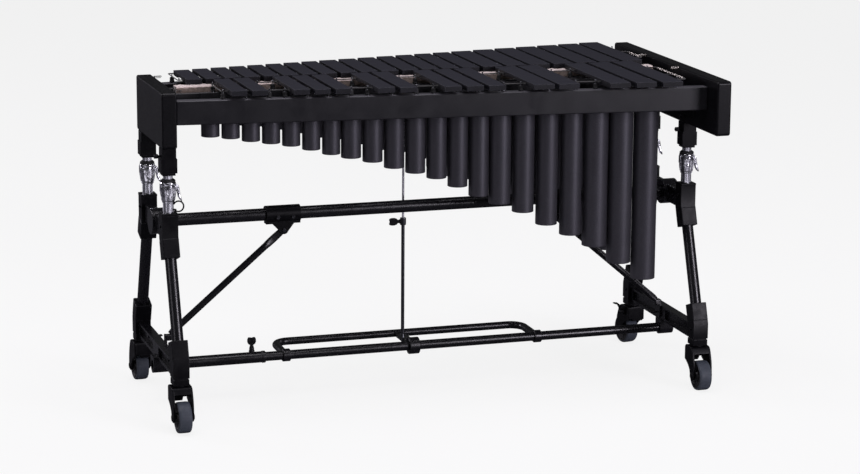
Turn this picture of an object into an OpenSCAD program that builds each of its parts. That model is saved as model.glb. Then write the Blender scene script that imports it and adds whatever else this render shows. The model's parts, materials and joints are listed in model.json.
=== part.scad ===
// Three-octave graduated bar percussion instrument with damper pedal on a
// wheeled, height-adjustable frame. Millimetres, +Z up, floor at Z = 0.
// X runs along the keyboard, with the high notes at -X and the low notes at +X.
// Front is -Y (accidentals), back is +Y (naturals, the player's side).
// Name endings: _l length, _w width, _h height, _t thickness, _d diameter.
// nat_ is a natural, acc_ an accidental.

/* [Keyboard frame] */
// Overall length across the two end panels
overall_l = 1420; // [1416:1:1440]
// Thickness of each end panel
panel_t = 38; // [36:1:40]
// Height of each end panel
panel_h = 140; // [130:1:145]
// Height of the end panels' top edge above the floor
panel_top = 830; // [828:1:832]
// Half width of the end panel at the high notes
panel_half_high = 153; // [150:1:160]
// Half width of the end panel at the low notes
panel_half_low = 356; // [340:1:370]
// Height of the rails' top faces above the floor
rail_top = 808; // [806:1:810]
// Height of the outer rails
rail_h = 60; // [50:1:62]
// Thickness of the outer rails
rail_t = 30; // [28:1:32]
// Outer rail face, distance from the centre plane at the high end
rail_y_high = 148; // [146:1:150]
// Outer rail face, distance from the centre plane at the low end
rail_y_low = 293.6; // [290:0.1:296]
// Width of the slim inner rails
inner_rail_w = 16; // [14:1:16]
// Height of the slim inner rails
inner_rail_h = 28; // [20:1:28]

/* [Bars] */
// Width of the high-octave bars
bar_w_high = 39.4; // [38:0.1:40]
// Width of the middle-octave bars
bar_w_mid = 43.8; // [42:0.1:44]
// Width of the low-octave bars
bar_w_low = 53.8; // [52:0.1:54]
// Gap between neighbouring natural bars
bar_gap = 10.9; // [10.6:0.1:11.2]
// Thickness of every bar
bar_t = 13; // [12:0.5:13]
// Height of the bars' playing face above the floor
bar_top = 833.5; // [833:0.5:834]
// X of the -X edge of the first (highest) natural bar
bar_x0 = -608.7; // [-610:0.1:-606]
// Y of the accidental row's straight edge, beside the naturals
acc_edge = 9; // [7:0.5:9]
// Y of the natural row's straight edge, beside the accidentals
nat_edge = 21; // [21:0.5:23]
// Depth of the tuning arch under each bar
arch_depth = 5; // [3:0.5:6]

/* [Resonators] */
// Height of the tube mouths above the floor
tube_top = 786; // [780:1:790]
// Wall thickness of the resonator tubes
tube_wall = 1.5; // [1.2:0.1:2]
// Pitch of the lowest bar in hertz
lowest_pitch = 174.61; // [170:0.01:180]
// Tube length as a multiple of a quarter wave
tube_factor = 1.06; // [1:0.01:1.06]
// Thickness of the hanging strips
strip_t = 3; // [2:0.5:3]

/* [Stand] */
// Distance of each post from the middle, along the keyboard
post_x = 691; // [690:1:692]
// Distance of each post from the centre plane
post_y = 124; // [122:1:126]
// Diameter of the sliding upper posts
post_d = 24; // [22:1:24]
// Diameter of the fixed lower posts
sleeve_d = 27; // [27:1:28]
// Distance of each foot from the centre plane
foot_y = 229; // [225:1:235]
// Diameter of the inclined leg tubes
leg_d = 29; // [27:1:30]
// Height of the upper leg bend
bend_top = 466; // [464:1:468]
// Height of the lower leg bend
bend_low = 171; // [169:1:173]
// Height of the upper beam's axis
beam_z = 480.7; // [480:0.1:482]
// Diameter of the upper beam
beam_d = 32; // [30:1:32]
// Height of the lower beam's axis
low_beam_z = 106.6; // [106:0.1:108]
// Diameter of the lower beam's inner tube
low_beam_d = 24; // [22:1:24]

/* [Damper] */
// Distance of the pedal rod behind the centre plane
rod_y = 27; // [26:1:28]
// Position of the pedal rod along the keyboard
rod_x = -38; // [-38:1:-38]
// Reach of the pedal bar behind its hinge
pedal_reach = 135; // [120:1:140]

/* [Casters] */
// Wheel diameter
wheel_d = 78; // [72:1:78]
// Distance of the wheel axle from the swivel axis
trail = 29; // [26:1:30]
// Swivel angle of the high-end front caster
swivel_hf = -90; // [-180:1:180]
// Swivel angle of the high-end back caster
swivel_hb = 92; // [-180:1:180]
// Swivel angle of the low-end front caster
swivel_lf = -91; // [-180:1:180]
// Swivel angle of the low-end back caster
swivel_lb = 98; // [-180:1:180]

/* [Hidden] */
$fn = 48;

// signs of X at the two ends, and of Y at the two sides
high = -1;
low = 1;
front = -1;
back = 1;
clearance = 0.05;                          // gap between fitted faces
pipe_wall = 2;                             // wall of the leg and beam tubes
bolt_d = 5;                                // hand screws and brace bolts

inner_x = overall_l / 2 - panel_t;         // inner faces of the end panels
panel_bottom = panel_top - panel_h;
rail_slope = (rail_y_low - rail_y_high) / (2 * inner_x);
rail_angle = atan(rail_slope);
// outer face of a rail, as a distance from the centre plane
function rail_y(x) = rail_y_high + (x + inner_x) * rail_slope;

// Row tapers start from the station of each row's highest bar
acc_start_x = -522;
nat_start_x = -589;
// outer ends of the bars
function acc_end_y(x) = -(184 + 0.1434 * (x - acc_start_x));
function nat_end_y(x) = 174 + 0.148 * (x - nat_start_x);

// Cord lines: one along each outer rail and one along each inner rail
cord_z = bar_top - bar_t / 2;
cord_inset = 17;                           // from the outer rail's outer face
acc_cord_slope = 0.0321;
nat_cord_slope = 0.0331;
function cord_outer(x) = rail_y(x) - cord_inset;
function acc_cord_inner(x) = -(34.2 + acc_cord_slope * (x - acc_start_x));
function nat_cord_inner(x) = 55.3 + nat_cord_slope * (x - nat_start_x);
// the outer and the inner cord of a row at x, each as [x, y, angle]
function acc_cords(x) = [[x, -cord_outer(x), -rail_angle],
    [x, acc_cord_inner(x), -atan(acc_cord_slope)]];
function nat_cords(x) = [[x, cord_outer(x), rail_angle],
    [x, nat_cord_inner(x), atan(nat_cord_slope)]];

// Natural bars, numbered from 0 at the highest
nat_last = 21;
function nat_w(i) = i < 8 ? bar_w_high : i < 15 ? bar_w_mid : bar_w_low;
function nat_left(i) = i == 0 ? bar_x0 : nat_left(i - 1) + nat_w(i - 1) + bar_gap;
function nat_x(i) = nat_left(i) + nat_w(i) / 2;

// Slots between naturals, 1 to nat_last; an accidental fills a whole-tone slot.
// Slots are spread and shifted from the gaps, with a wave past wave_start.
slot_spread = 1.01;
slot_shift = 4;
wave_start = 15;
function slot_wave(j) = j > wave_start ?
    5 * sin(30 * (j - wave_start)) + 0.6 * (j - wave_start) : 0;
function slot_x(j) = (nat_left(j) - bar_gap / 2) * slot_spread - slot_shift - slot_wave(j);
function slot_w(j) = j < 8 ? bar_w_high : j < 16 ? bar_w_mid : bar_w_low;
function slot_left(j) = slot_x(j) - slot_w(j) / 2;
function slot_right(j) = slot_x(j) + slot_w(j) / 2;

// Pitches: scale degrees and semitones above the lowest bar
scale_steps = [0, 2, 4, 6, 7, 9, 11];
function degree(i) = nat_last - i;
function filled(j) = j <= nat_last && degree(j) % 7 != 3 && degree(j) % 7 != 6;
function semitones(i) = 12 * floor(degree(i) / 7) + scale_steps[degree(i) % 7];
function slot_semitones(j) = semitones(j) + (filled(j) ? 1 : 0.5);
function pitch(semis) = lowest_pitch * pow(2, semis / 12);
filled_slots = [for (j = [1 : nat_last]) if (filled(j)) j];

// Resonator sizes
sound_speed = 343000;                      // mm/s
tube_extra = 3;                            // added to every tube's length
function tube_len(semis) = tube_factor * sound_speed / (4 * pitch(semis)) + tube_extra;
// the longest natural tubes are cut shorter than their notes need,
// and the accidental row hangs a little lower
function nat_tube_len(i) = tube_len(semitones(i)) - max(0, i - 14) * 4;
function slot_tube_len(j) = tube_len(slot_semitones(j)) + (j < nat_last ? 10 : 2);
// the thinnest tubes are the first slim_count from the high end
function tube_d(i, slim_count) = i < slim_count ? 46 : i < 15 ? 51 : i < 19 ? 56 : 64;
// centre lines of the two banks of tubes
function nat_bank_y(x) = (nat_edge + nat_end_y(x)) / 2;
function acc_bank_y(x) = (acc_edge + acc_end_y(x)) / 2;
// distance from a bank's centre line to its strips
function strip_offset(x) = 24 + 10 * (x + 600) / 1200;
// tubes as [x, y, diameter, length]
nat_tubes = [for (i = [0 : nat_last])
    [nat_x(i), nat_bank_y(nat_x(i)), tube_d(i, 7), nat_tube_len(i)]];
acc_tubes = [for (j = [1 : nat_last])
    [slot_x(j), acc_bank_y(slot_x(j)), tube_d(j, 8), slot_tube_len(j)]];

// ---------- helpers ----------
module four_corners() {
    both_ends() children();
    mirror([0, 1, 0]) both_ends() children();
}
module both_ends() {
    children();
    mirror([1, 0, 0]) children();
}
// extrude a (y, z) outline along +X
module extrude_x(l) {
    rotate([90, 0, 90]) linear_extrude(l) children();
}
module rounded_rect(w, h, r) {
    translate([r, 0]) square([w - 2 * r, h]);
    translate([0, r]) square([w, h - 2 * r]);
    for (x = [r, w - r], y = [r, h - r])
        translate([x, y]) circle(r);
}
module cyl_x(d, l) {
    rotate([0, 90, 0]) cylinder(d = d, h = l);
}
module cyl_y(d, l) {
    rotate([-90, 0, 0]) cylinder(d = d, h = l);
}
// open tube along +Z
module pipe(d, bore, l) {
    difference() {
        cylinder(d = d, h = l);
        translate([0, 0, -1]) cylinder(d = bore, h = l + 2);
    }
}
module rod_between(start, end, d) {
    v = end - start;
    l = norm(v);
    translate(start) rotate([0, acos(v[2] / l), atan2(v[1], v[0])])
        cylinder(d = d, h = l);
}
// coil spring along +Z from z = 0 to h; the wire has a four-sided section
module coil(d, wire, h, turns) {
    turn_steps = 12;
    sides = 4;
    segments = turns * turn_steps;
    coil_r = (d - wire) / 2;
    lift = (h - wire) / segments;
    points = [for (i = [0 : segments], k = [0 : sides - 1])
        let (
            around = i * 360 / turn_steps,
            section = k * 360 / sides,
            r = coil_r + wire / 2 * cos(section)
        )
        [r * cos(around), r * sin(around), wire / 2 + i * lift + wire / 2 * sin(section)]];
    walls = [for (i = [0 : segments - 1], k = [0 : sides - 1], half = [0, 1])
        let (a = i * sides + k, b = i * sides + (k + 1) % sides)
        half == 0 ? [a, a + sides, b + sides] : [a, b + sides, b]];
    last = segments * sides;
    caps = concat([for (k = [1 : sides - 2]) [0, k, k + 1]],
        [for (k = [1 : sides - 2]) [last, last + k + 1, last + k]]);
    polyhedron(points = points, faces = concat(walls, caps), convexity = 8);
}
module screw_head(d = 9, h = 3) {
    difference() {
        cylinder(d = d, h = h);
        translate([0, 0, h - 1.4]) cylinder(d = d * 0.45, h = 2);
    }
}
// wing-headed screw pointing along -Z from the origin, wings above
module wing_screw(shaft_l, span, h = 20) {
    wing_t = 4.4;
    translate([0, 0, -shaft_l]) cylinder(d = bolt_d - 2 * clearance, h = shaft_l + 1);
    cylinder(d = 11, h = h * 0.55);
    difference() {
        translate([-span / 2, -wing_t / 2, h * 0.15]) cube([span, wing_t, h * 0.85]);
        // dip between the wings, and their hollowed outer edges
        translate([0, 3, h + span * 0.12]) rotate([90, 0, 0])
            cylinder(d = span * 0.55, h = 6);
        for (s = [-1, 1]) translate([s * (span / 2 + 4), 3, 0])
            rotate([90, 0, 0]) cylinder(d = 18, h = 6);
    }
}

// ---------- keyboard frame ----------
strip_z = 753;                             // underside of the strips
bracket_t = 3;
bracket_h = 21;
bracket_z = rail_top - 29;

// the panel at the low end
module end_panel(half_w) {
    translate([inner_x, 0, 0]) extrude_x(panel_t)
        translate([-half_w, panel_bottom]) rounded_rect(2 * half_w, panel_h, 9);
}
module high_end_panel() {
    color("#1b1b1d") mirror([1, 0, 0]) end_panel(panel_half_high);
}
module low_end_panel() {
    color("#1b1b1d") end_panel(panel_half_low);
}
// prism between the end panels; y0, y1 are its -Y face at the high and low end
module tapered_rail(y0, y1, w, h, z) {
    translate([0, 0, z]) linear_extrude(h)
        polygon([[-inner_x, y0], [inner_x, y1], [inner_x, y1 + w], [-inner_x, y0 + w]]);
}
module outer_rail() {
    tapered_rail(-rail_y(-inner_x), -rail_y(inner_x), rail_t, rail_h, rail_top - rail_h);
}
module front_rail() {
    color("#202022") outer_rail();
}
module back_rail() {
    color("#202022") mirror([0, 1, 0]) outer_rail();
}
module inner_rail(y_high, y_low) {
    tapered_rail(y_high - inner_rail_w / 2, y_low - inner_rail_w / 2,
        inner_rail_w, inner_rail_h, rail_top - inner_rail_h);
}
module inner_rails() {
    color("#242427") {
        inner_rail(acc_cord_inner(-inner_x), acc_cord_inner(inner_x));
        inner_rail(nat_cord_inner(-inner_x), nat_cord_inner(inner_x));
    }
}
// angle bracket between the front rail's inner face and one end panel
function front_rail_inner_y(x) = rail_t - rail_y(x);
module corner_bracket(end) {
    rail_arm = 42;
    panel_arm = 32;
    x_panel = end * inner_x;
    x_arm = end * (inner_x - bracket_t);
    x_tip = end * (inner_x - rail_arm);
    y_panel = front_rail_inner_y(x_panel);
    y_arm = front_rail_inner_y(x_arm);
    y_tip = front_rail_inner_y(x_tip);
    translate([0, 0, bracket_z]) linear_extrude(bracket_h)
        polygon([[x_panel, y_panel], [x_tip, y_tip], [x_tip, y_tip + bracket_t],
            [x_arm, y_arm + bracket_t], [x_arm, y_arm + panel_arm],
            [x_panel, y_panel + panel_arm]]);
}
// shelf under the ends of one bank's two strips
module bank_shelf(end, bank_y) {
    depth = 22;
    plate_h = 38;
    half_w = strip_offset(end * inner_x) + strip_t + 4;
    // the side towards the rail stops short of it
    rail_side = min(half_w, rail_y(end * (inner_x - depth)) - rail_t - 2.8 - abs(bank_y));
    y0 = bank_y - (bank_y < 0 ? rail_side : half_w);
    w = half_w + rail_side;
    mirror([end < 0 ? 1 : 0, 0, 0]) {
        translate([inner_x - bracket_t, y0, strip_z - plate_h])
            cube([bracket_t, w, plate_h]);
        translate([inner_x - depth, y0, strip_z - bracket_t])
            cube([depth, w, bracket_t]);
    }
}
module panel_brackets() {
    color("#2a2a2d") for (end = [high, low]) {
        corner_bracket(end);
        mirror([0, 1, 0]) corner_bracket(end);
        bank_shelf(end, acc_bank_y(end * (inner_x - 10)));
        bank_shelf(end, nat_bank_y(end * (inner_x - 10)));
    }
}
module panel_bolts() {
    color("#8a8a90") for (end = [high, low], side = [front, back]) {
        // bracket screws on the rails' inner faces, just clear of the bracket
        x = end * (inner_x - 28);
        y = rail_y(x) - rail_t - bracket_t - 0.03;
        for (dz = [-5, 5])
            translate([x, side * y, bracket_z + bracket_h / 2 + dz])
                rotate([0, 0, side * rail_angle]) rotate([side * 90, 0, 0])
                    screw_head(7, 2.5);
        // bolts on the panels' inner faces, in line with the post sockets
        translate([end * inner_x, side * post_y, 703]) rotate([0, -end * 90, 0])
            screw_head(9, 3);
    }
}

// ---------- cords ----------
cord_post_d = 5;
flange_h = 1.5;
cord_d = 3;
// posts stand beside every bar of a row; ends carry a thicker sleeve
nat_mid_x = [for (i = [1 : nat_last]) nat_left(i) - bar_gap / 2];
nat_end_x = [nat_left(0) - 12, nat_left(nat_last) + nat_w(nat_last) + 14];
// an accidental's post on the high side is shared if the slot before is filled
function acc_post_left(j) = slot_left(j)
    - (filled(j - 1) ? (slot_left(j) - slot_right(j - 1)) / 2 : 12);
function acc_post_right(j) = slot_right(j) + 12;
acc_mid_x = [for (j = filled_slots) if (filled(j - 1)) acc_post_left(j)];
acc_end_x = concat([for (j = filled_slots) if (!filled(j - 1)) acc_post_left(j)],
    [for (j = filled_slots) if (!filled(j + 1)) acc_post_right(j)]);
// post stations as [x, y, angle]
function stations(nat_xs, acc_xs) = concat([for (x = nat_xs, c = nat_cords(x)) c],
    [for (x = acc_xs, c = acc_cords(x)) c]);
mid_stations = stations(nat_mid_x, acc_mid_x);
end_stations = stations(nat_end_x, acc_end_x);

// flanged post, slotted at the top for the cord
module cord_post(station) {
    translate([station[0], station[1], rail_top]) rotate([0, 0, station[2]]) difference() {
        union() {
            cylinder(d = cord_post_d, h = bar_top - rail_top - 1.5);
            cylinder(d = 8.5, h = flange_h);
        }
        translate([-5, -1.8, cord_z - rail_top - 2]) cube([10, 3.6, 14]);
    }
}
module post_sleeve(station, d) {
    translate([station[0], station[1], rail_top + flange_h]) pipe(d, cord_post_d, 12.5);
}
module cord_posts() {
    color("#b9b9bf") for (station = concat(mid_stations, end_stations))
        cord_post(station);
}
module post_sleeves() {
    color("#161617") {
        for (station = mid_stations) post_sleeve(station, 9);
        for (station = end_stations) post_sleeve(station, 13);
    }
}
// one closed loop of cord for a row: two long runs, joined across both ends;
// at_high and at_low are the row's cords at those ends
module cord_loop(at_high, at_low) {
    for (k = [0, 1])
        rod_between([at_high[k][0], at_high[k][1], cord_z],
            [at_low[k][0], at_low[k][1], cord_z], cord_d);
    for (end = [high, low]) {
        cords = end == high ? at_high : at_low;
        outer_y = cords[0][1];
        inner_y = cords[1][1];
        inward = sign(inner_y - outer_y);
        translate([cords[0][0] - end, outer_y + 2 * inward, cord_z])
            rotate([-90 * inward, 0, 0])
                cylinder(d = cord_d, h = abs(inner_y - outer_y) - 4);
    }
}
module bar_cords() {
    color("#d8cfc8") {
        cord_loop(nat_cords(nat_end_x[0] - 5), nat_cords(nat_end_x[1] + 17));
        cord_loop(acc_cords(acc_post_left(filled_slots[0]) - 5),
            acc_cords(acc_post_right(nat_last) + 24));
    }
}
// springs between the end panels and the cord loops
module cord_springs() {
    spring_l = 19;
    panel_gap = 1;
    high_x = -inner_x + panel_gap;
    low_x = inner_x - panel_gap - spring_l;
    high_y = cord_outer(-inner_x + 22) - 16;
    color("#c8c4be")
        for (place = [[high_x, -high_y], [low_x, -96], [high_x, high_y], [low_x, 130]])
            translate([place[0], place[1], cord_z]) rotate([0, 90, 0])
                coil(8, 1.2, spring_l, 5);
}

// ---------- bars ----------
cord_hole_d = 6;
// a bar from y0 to y1, drilled along two cord lines, arched underneath
module bar(x, w, y0, y1, cords) {
    l = y1 - y0;
    arch_half = l * 0.22;
    arch_r = (arch_half * arch_half + arch_depth * arch_depth) / (2 * arch_depth);
    difference() {
        translate([x - w / 2, y0, bar_top - bar_t]) cube([w, l, bar_t]);
        translate([x - w / 2 - 1, (y0 + y1) / 2, bar_top - bar_t + arch_depth - arch_r])
            rotate([0, 90, 0]) cylinder(r = arch_r, h = w + 2, $fn = 96);
        for (cord = cords)
            translate([x, cord[1], cord_z]) rotate([0, 0, cord[2]])
                translate([-w, 0, 0]) cyl_x(cord_hole_d, 2 * w);
    }
}
module natural_bars() {
    color("#33343c") for (i = [0 : nat_last]) {
        x = nat_x(i);
        bar(x, nat_w(i), nat_edge, nat_end_y(x), nat_cords(x));
    }
}
module accidental_bars() {
    color("#33343c") for (j = filled_slots) {
        x = slot_x(j);
        bar(x, slot_w(j), acc_end_y(x), acc_edge, acc_cords(x));
    }
}

// ---------- resonators ----------
module tube_bank(tubes) {
    for (t = tubes)
        translate([t[0], t[1], tube_top - t[3]]) pipe(t[2], t[2] - 2 * tube_wall, t[3]);
}
module natural_resonators() {
    color("#3a3a3f") tube_bank(nat_tubes);
}
module accidental_resonators() {
    color("#3a3a3f") tube_bank(acc_tubes);
}
// a disc inside each tube, just above its lower end
module resonator_stoppers() {
    color("#2c2c30") for (t = concat(nat_tubes, acc_tubes))
        translate([t[0], t[1], tube_top - t[3] + 6])
            cylinder(d = t[2] - 2 * tube_wall, h = 3);
}
// a strip along each side of both banks
module resonator_rails() {
    end_x = inner_x - 4;
    offset_high = strip_offset(-end_x);
    offset_low = strip_offset(end_x);
    color("#2a2a2d")
        for (bank = [[acc_bank_y(-end_x), acc_bank_y(end_x)],
                [nat_bank_y(-end_x), nat_bank_y(end_x)]], side = [front, back]) {
            shift = side == front ? -strip_t : 0;
            y0 = bank[0] + side * offset_high + shift;
            y1 = bank[1] + side * offset_low + shift;
            translate([0, 0, strip_z]) linear_extrude(24)
                polygon([[-end_x, y0], [end_x, y1],
                    [end_x, y1 + strip_t], [-end_x, y0 + strip_t]]);
        }
}

// ---------- height posts ----------
post_top = 682;
post_bottom = 475;
sleeve_top = 588;                          // the lower posts
sleeve_bottom = 474;
socket_bottom = 622;
clamp_top = 605;
lever_z = 592;                             // the clamp levers' pins
lever_dx = 20;
lever_pin_d = 5;
block_w = 41;                              // sockets' collars and leg brackets

module post_sockets() {
    color("#1d1d20") four_corners() difference() {
        union() {
            translate([post_x - 18, post_y - 18, 660]) cube([36, 36, panel_bottom - 660]);
            translate([post_x - block_w / 2, post_y - 18, 628]) cube([block_w, 36, 36]);
            translate([post_x - 16, post_y - 16, socket_bottom]) cube([32, 32, 7]);
        }
        translate([post_x, post_y, socket_bottom - 1])
            cylinder(d = post_d, h = post_top - socket_bottom + 1);
    }
}
module socket_screws() {
    color("#1a1a1c") for (end = [high, low], side = [front, back]) {
        // all point along -X, except the one at the high-end back
        dir = end == high && side == back ? 1 : -1;
        translate([end * post_x + dir * 18, side * post_y, 670]) rotate([0, dir * 90, 0]) {
            cylinder(d = 5, h = 6);
            translate([0, 0, 5]) cylinder(d = 11, h = 11.8);
        }
    }
}
module upper_posts() {
    color("#c6c8cf") four_corners() translate([post_x, post_y, post_bottom])
        cylinder(d = post_d, h = post_top - post_bottom);
}
module lower_posts() {
    color("#c6c8cf") four_corners() translate([post_x, post_y, sleeve_bottom])
        pipe(sleeve_d, post_d + 2 * clearance, sleeve_top - sleeve_bottom);
}
// flared collar round the posts' joint, with a lever pocket on its +X side
module post_clamps() {
    // (radius, z)
    profile = [[0, 553], [14.6, 553], [16, 562], [18.5, 575], [19.6, 590],
        [19.6, 602], [18.5, clamp_top], [0, clamp_top]];
    color("#b4b6bd") for (end = [high, low], side = [front, back])
        translate([end * post_x, side * post_y, 0]) {
            difference() {
                union() {
                    rotate_extrude() polygon(profile);
                    for (s = [-1, 1])
                        translate([10, s * 7 - 2, 583]) cube([14, 4, 18]);
                }
                translate([0, 0, 550]) cylinder(d = sleeve_d, h = sleeve_top - 550);
                translate([0, 0, 580]) cylinder(d = post_d + 2 * clearance, h = 30);
                // pocket for the lever's cam head
                translate([13.2, -5, 582]) cube([20, 10, 22]);
                // slit in the -X side
                translate([-21, -1, 596]) cube([12, 2, 12]);
            }
            // pin across the pocket
            translate([lever_dx, -9, lever_z]) cyl_y(lever_pin_d, 18);
        }
}
module clamp_gaskets() {
    color("#111112") four_corners() translate([post_x, post_y, clamp_top]) difference() {
        union() {
            cylinder(d = 37, h = 5);
            translate([0, 0, 5]) cylinder(d = 31, h = 2.5);
        }
        translate([0, 0, -1]) cylinder(d = post_d + 2 * clearance, h = 10);
    }
}
// cam lever hanging along the clamp's +X side
module clamp_lever(end, side) {
    head_w = 9.4;
    grip_t = 4.6;
    translate([end * post_x + lever_dx, side * post_y, lever_z]) difference() {
        union() {
            translate([0, -head_w / 2, 0]) cyl_y(12, head_w);
            rotate([0, -14, 0]) {
                translate([1.2, -4.2, -30]) cube([grip_t, 8.4, 29]);
                translate([1.2, -6.5, -38]) cube([grip_t, 13, 14]);
            }
        }
        translate([0, -10, 0]) cyl_y(lever_pin_d + 2 * clearance, 20);
    }
}
module clamp_lever_high_front() {
    color("#c0c2c9") clamp_lever(high, front);
}
module clamp_lever_high_back() {
    color("#c0c2c9") clamp_lever(high, back);
}
module clamp_lever_low_front() {
    color("#c0c2c9") clamp_lever(low, front);
}
module clamp_lever_low_back() {
    color("#c0c2c9") clamp_lever(low, back);
}

// ---------- legs ----------
// Points of one leg's plane are [y, z]
upper_bend = [post_y, bend_top];
lower_bend = [foot_y, bend_low];
leg_angle = atan2(foot_y - post_y, bend_top - bend_low);
leg_dir = [sin(leg_angle), -cos(leg_angle)];
leg_normal = [cos(leg_angle), sin(leg_angle)];
leg_len = norm(upper_bend - lower_bend);
leg_inset = 12;                            // tube end, from the bend
upper_bracket_half = 19;
lower_bracket_half = 20;
stem_d = 11;                               // bore for the casters' stems

function leg_point(bend, across, along) = bend + across * leg_normal + along * leg_dir;
// place children on the leg's axis, pointing down it
module on_leg(bend, along) {
    point = leg_point(bend, 0, along);
    translate([post_x, point[0], point[1]]) rotate([180 + leg_angle, 0, 0]) children();
}
// mitred block from the vertical's end at end_z, round the bend, along the leg
module leg_bracket(bend, half_t, end_z, along) {
    y = bend[0];
    miter = half_t * tan(leg_angle / 2);
    translate([post_x - block_w / 2, 0, 0]) extrude_x(block_w)
        polygon([[y - half_t, end_z], [y + half_t, end_z], [y + half_t, bend[1] + miter],
            leg_point(bend, half_t, along), leg_point(bend, -half_t, along),
            [y - half_t, bend[1] - miter]]);
}
module upper_leg_brackets() {
    color("#1d1d20") four_corners() difference() {
        leg_bracket(upper_bend, upper_bracket_half, 527, 54);
        translate([post_x, post_y, sleeve_bottom]) cylinder(d = sleeve_d, h = 60);
        on_leg(upper_bend, leg_inset) cylinder(d = leg_d, h = 60);
    }
}
module leg_tubes() {
    color("#232326") four_corners() on_leg(upper_bend, leg_inset)
        pipe(leg_d, leg_d - 2 * pipe_wall, leg_len - 2 * leg_inset);
}
module lower_leg_brackets() {
    bore_l = 48;
    color("#1d1d20") four_corners() difference() {
        leg_bracket(lower_bend, lower_bracket_half, 134, -52);
        on_leg(lower_bend, -leg_inset - bore_l) cylinder(d = leg_d + 0.02, h = bore_l);
        translate([post_x, foot_y, 130]) cylinder(d = stem_d, h = 24);
    }
}
module caster_sockets() {
    color("#19191b") four_corners() translate([post_x, foot_y, 116]) difference() {
        union() {
            translate([-20, -19, 0]) cube([40, 38, 15]);
            translate([-18, -17, 14]) cube([36, 34, 4]);
        }
        translate([0, 0, -1]) cylinder(d = stem_d, h = 24);
    }
}

// ---------- cross members ----------
crossbar_w = 24;
crossbar_bolt_z = 149;                     // bolts through the lower crossbars
beam_end = post_x + 10;
low_plate_inset = 17;                      // low-end plate's inner face, from the post axis
beam_sleeve_d = 29;
sleeve_screw_x = -452;
sleeve_boss_h = 27;                        // boss top, above the lower beam's axis
lobe_x = 366;                              // pins that hold the braces' tops
lobe_z = 439;
lobe_pin_d = 7;
clamp_screw_xs = [346, 386];
clamp_screw_z = beam_z - 6;
clamp_screw_y = -23;

module upper_crossbars() {
    half_l = post_y - upper_bracket_half;
    boss_x = post_x - 21;
    color("#1d1d20") both_ends() difference() {
        union() {
            translate([post_x - crossbar_w / 2, -half_l, 458])
                cube([crossbar_w, 2 * half_l, 45]);
            translate([boss_x, 0, beam_z]) cyl_x(66, 42);
        }
        translate([boss_x - 1, 0, beam_z]) cyl_x(beam_d, beam_end - boss_x + 1);
    }
}
module lower_crossbars() {
    half_l = foot_y - lower_bracket_half;
    channel_l = half_l - 46;
    color("#1d1d20") for (end = [high, low]) {
        plate_r = end == low ? 18 : 20;
        difference() {
            union() {
                translate([end * post_x - crossbar_w / 2, -half_l, 128])
                    cube([crossbar_w, 2 * half_l, 39]);
                // round foot plate that holds the lower tube
                translate([end * post_x - (end == low ? low_plate_inset : 21), 0, 0])
                    extrude_x(38) union() {
                        translate([-plate_r, low_beam_z]) square([2 * plate_r, 24]);
                        translate([0, low_beam_z]) circle(plate_r);
                    }
            }
            // open channels in both faces
            for (x = [-14, 4], y = [-half_l + 12, 34])
                translate([end * post_x + x, y, 136]) cube([10, channel_l, 26]);
            translate([end * post_x - 25, 0, low_beam_z])
                cyl_x(end == high ? beam_sleeve_d : low_beam_d, 50);
            translate([end * post_x - 25, 0, crossbar_bolt_z]) cyl_x(bolt_d, 50);
        }
    }
}
module upper_beam() {
    color("#232326") translate([-beam_end, 0, beam_z]) rotate([0, 90, 0])
        pipe(beam_d, beam_d - 2 * pipe_wall, 2 * beam_end);
}
// collar round the upper beam, with a slotted lobe below for the brace
module beam_clamps() {
    x0 = 324;
    l = 90;
    lobe_t = 18;
    color("#1d1d20") both_ends() difference() {
        union() {
            translate([x0, 0, beam_z]) cyl_x(44, l);
            translate([x0, -12, beam_z - 24]) cube([l, 24, 20]);
            for (x = clamp_screw_xs)
                translate([x, clamp_screw_y, clamp_screw_z]) cyl_y(12, -clamp_screw_y);
            translate([0, lobe_t / 2, 0]) rotate([90, 0, 0]) linear_extrude(lobe_t) {
                polygon([[335, beam_z - 18], [403, beam_z - 18],
                    [lobe_x + 10, lobe_z - 4], [lobe_x - 10, lobe_z - 4]]);
                translate([lobe_x, lobe_z]) circle(11);
            }
        }
        translate([320, 0, beam_z]) cyl_x(beam_d, 100);
        translate([320, -3.5, lobe_z - 20]) cube([100, 7, 36]);
        translate([lobe_x, -12, lobe_z]) cyl_y(lobe_pin_d, 24);
    }
}
module diagonal_braces() {
    run = 668 - lobe_x;
    drop = lobe_z - 182;
    tongue_t = 6;
    foot_w = 18;
    color("#232326") both_ends() difference() {
        union() {
            translate([lobe_x, 0, lobe_z]) rotate([0, atan2(drop, run), 0]) {
                // flattened top end between the clamp's cheeks
                translate([0, -tongue_t / 2, -8]) cube([34, tongue_t, 16]);
                translate([0, -tongue_t / 2, 0]) cyl_y(16, tongue_t);
                translate([26, 0, 0]) cyl_x(17, norm([run, drop]) - 30);
            }
            // flattened foot on the lower crossbar's inner face
            translate([674, -foot_w / 2, 134]) cube([5, foot_w, 50]);
            translate([662, -foot_w / 2, 170]) cube([15, foot_w, 14]);
        }
        translate([lobe_x, -12, lobe_z]) cyl_y(lobe_pin_d, 24);
        translate([650, 0, crossbar_bolt_z]) cyl_x(bolt_d, 40);
    }
}
module lower_beam() {
    x0 = -600;
    color("#232326") translate([x0, 0, low_beam_z]) rotate([0, 90, 0])
        pipe(low_beam_d, low_beam_d - 2 * pipe_wall, post_x + 20 - x0);
}
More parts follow.
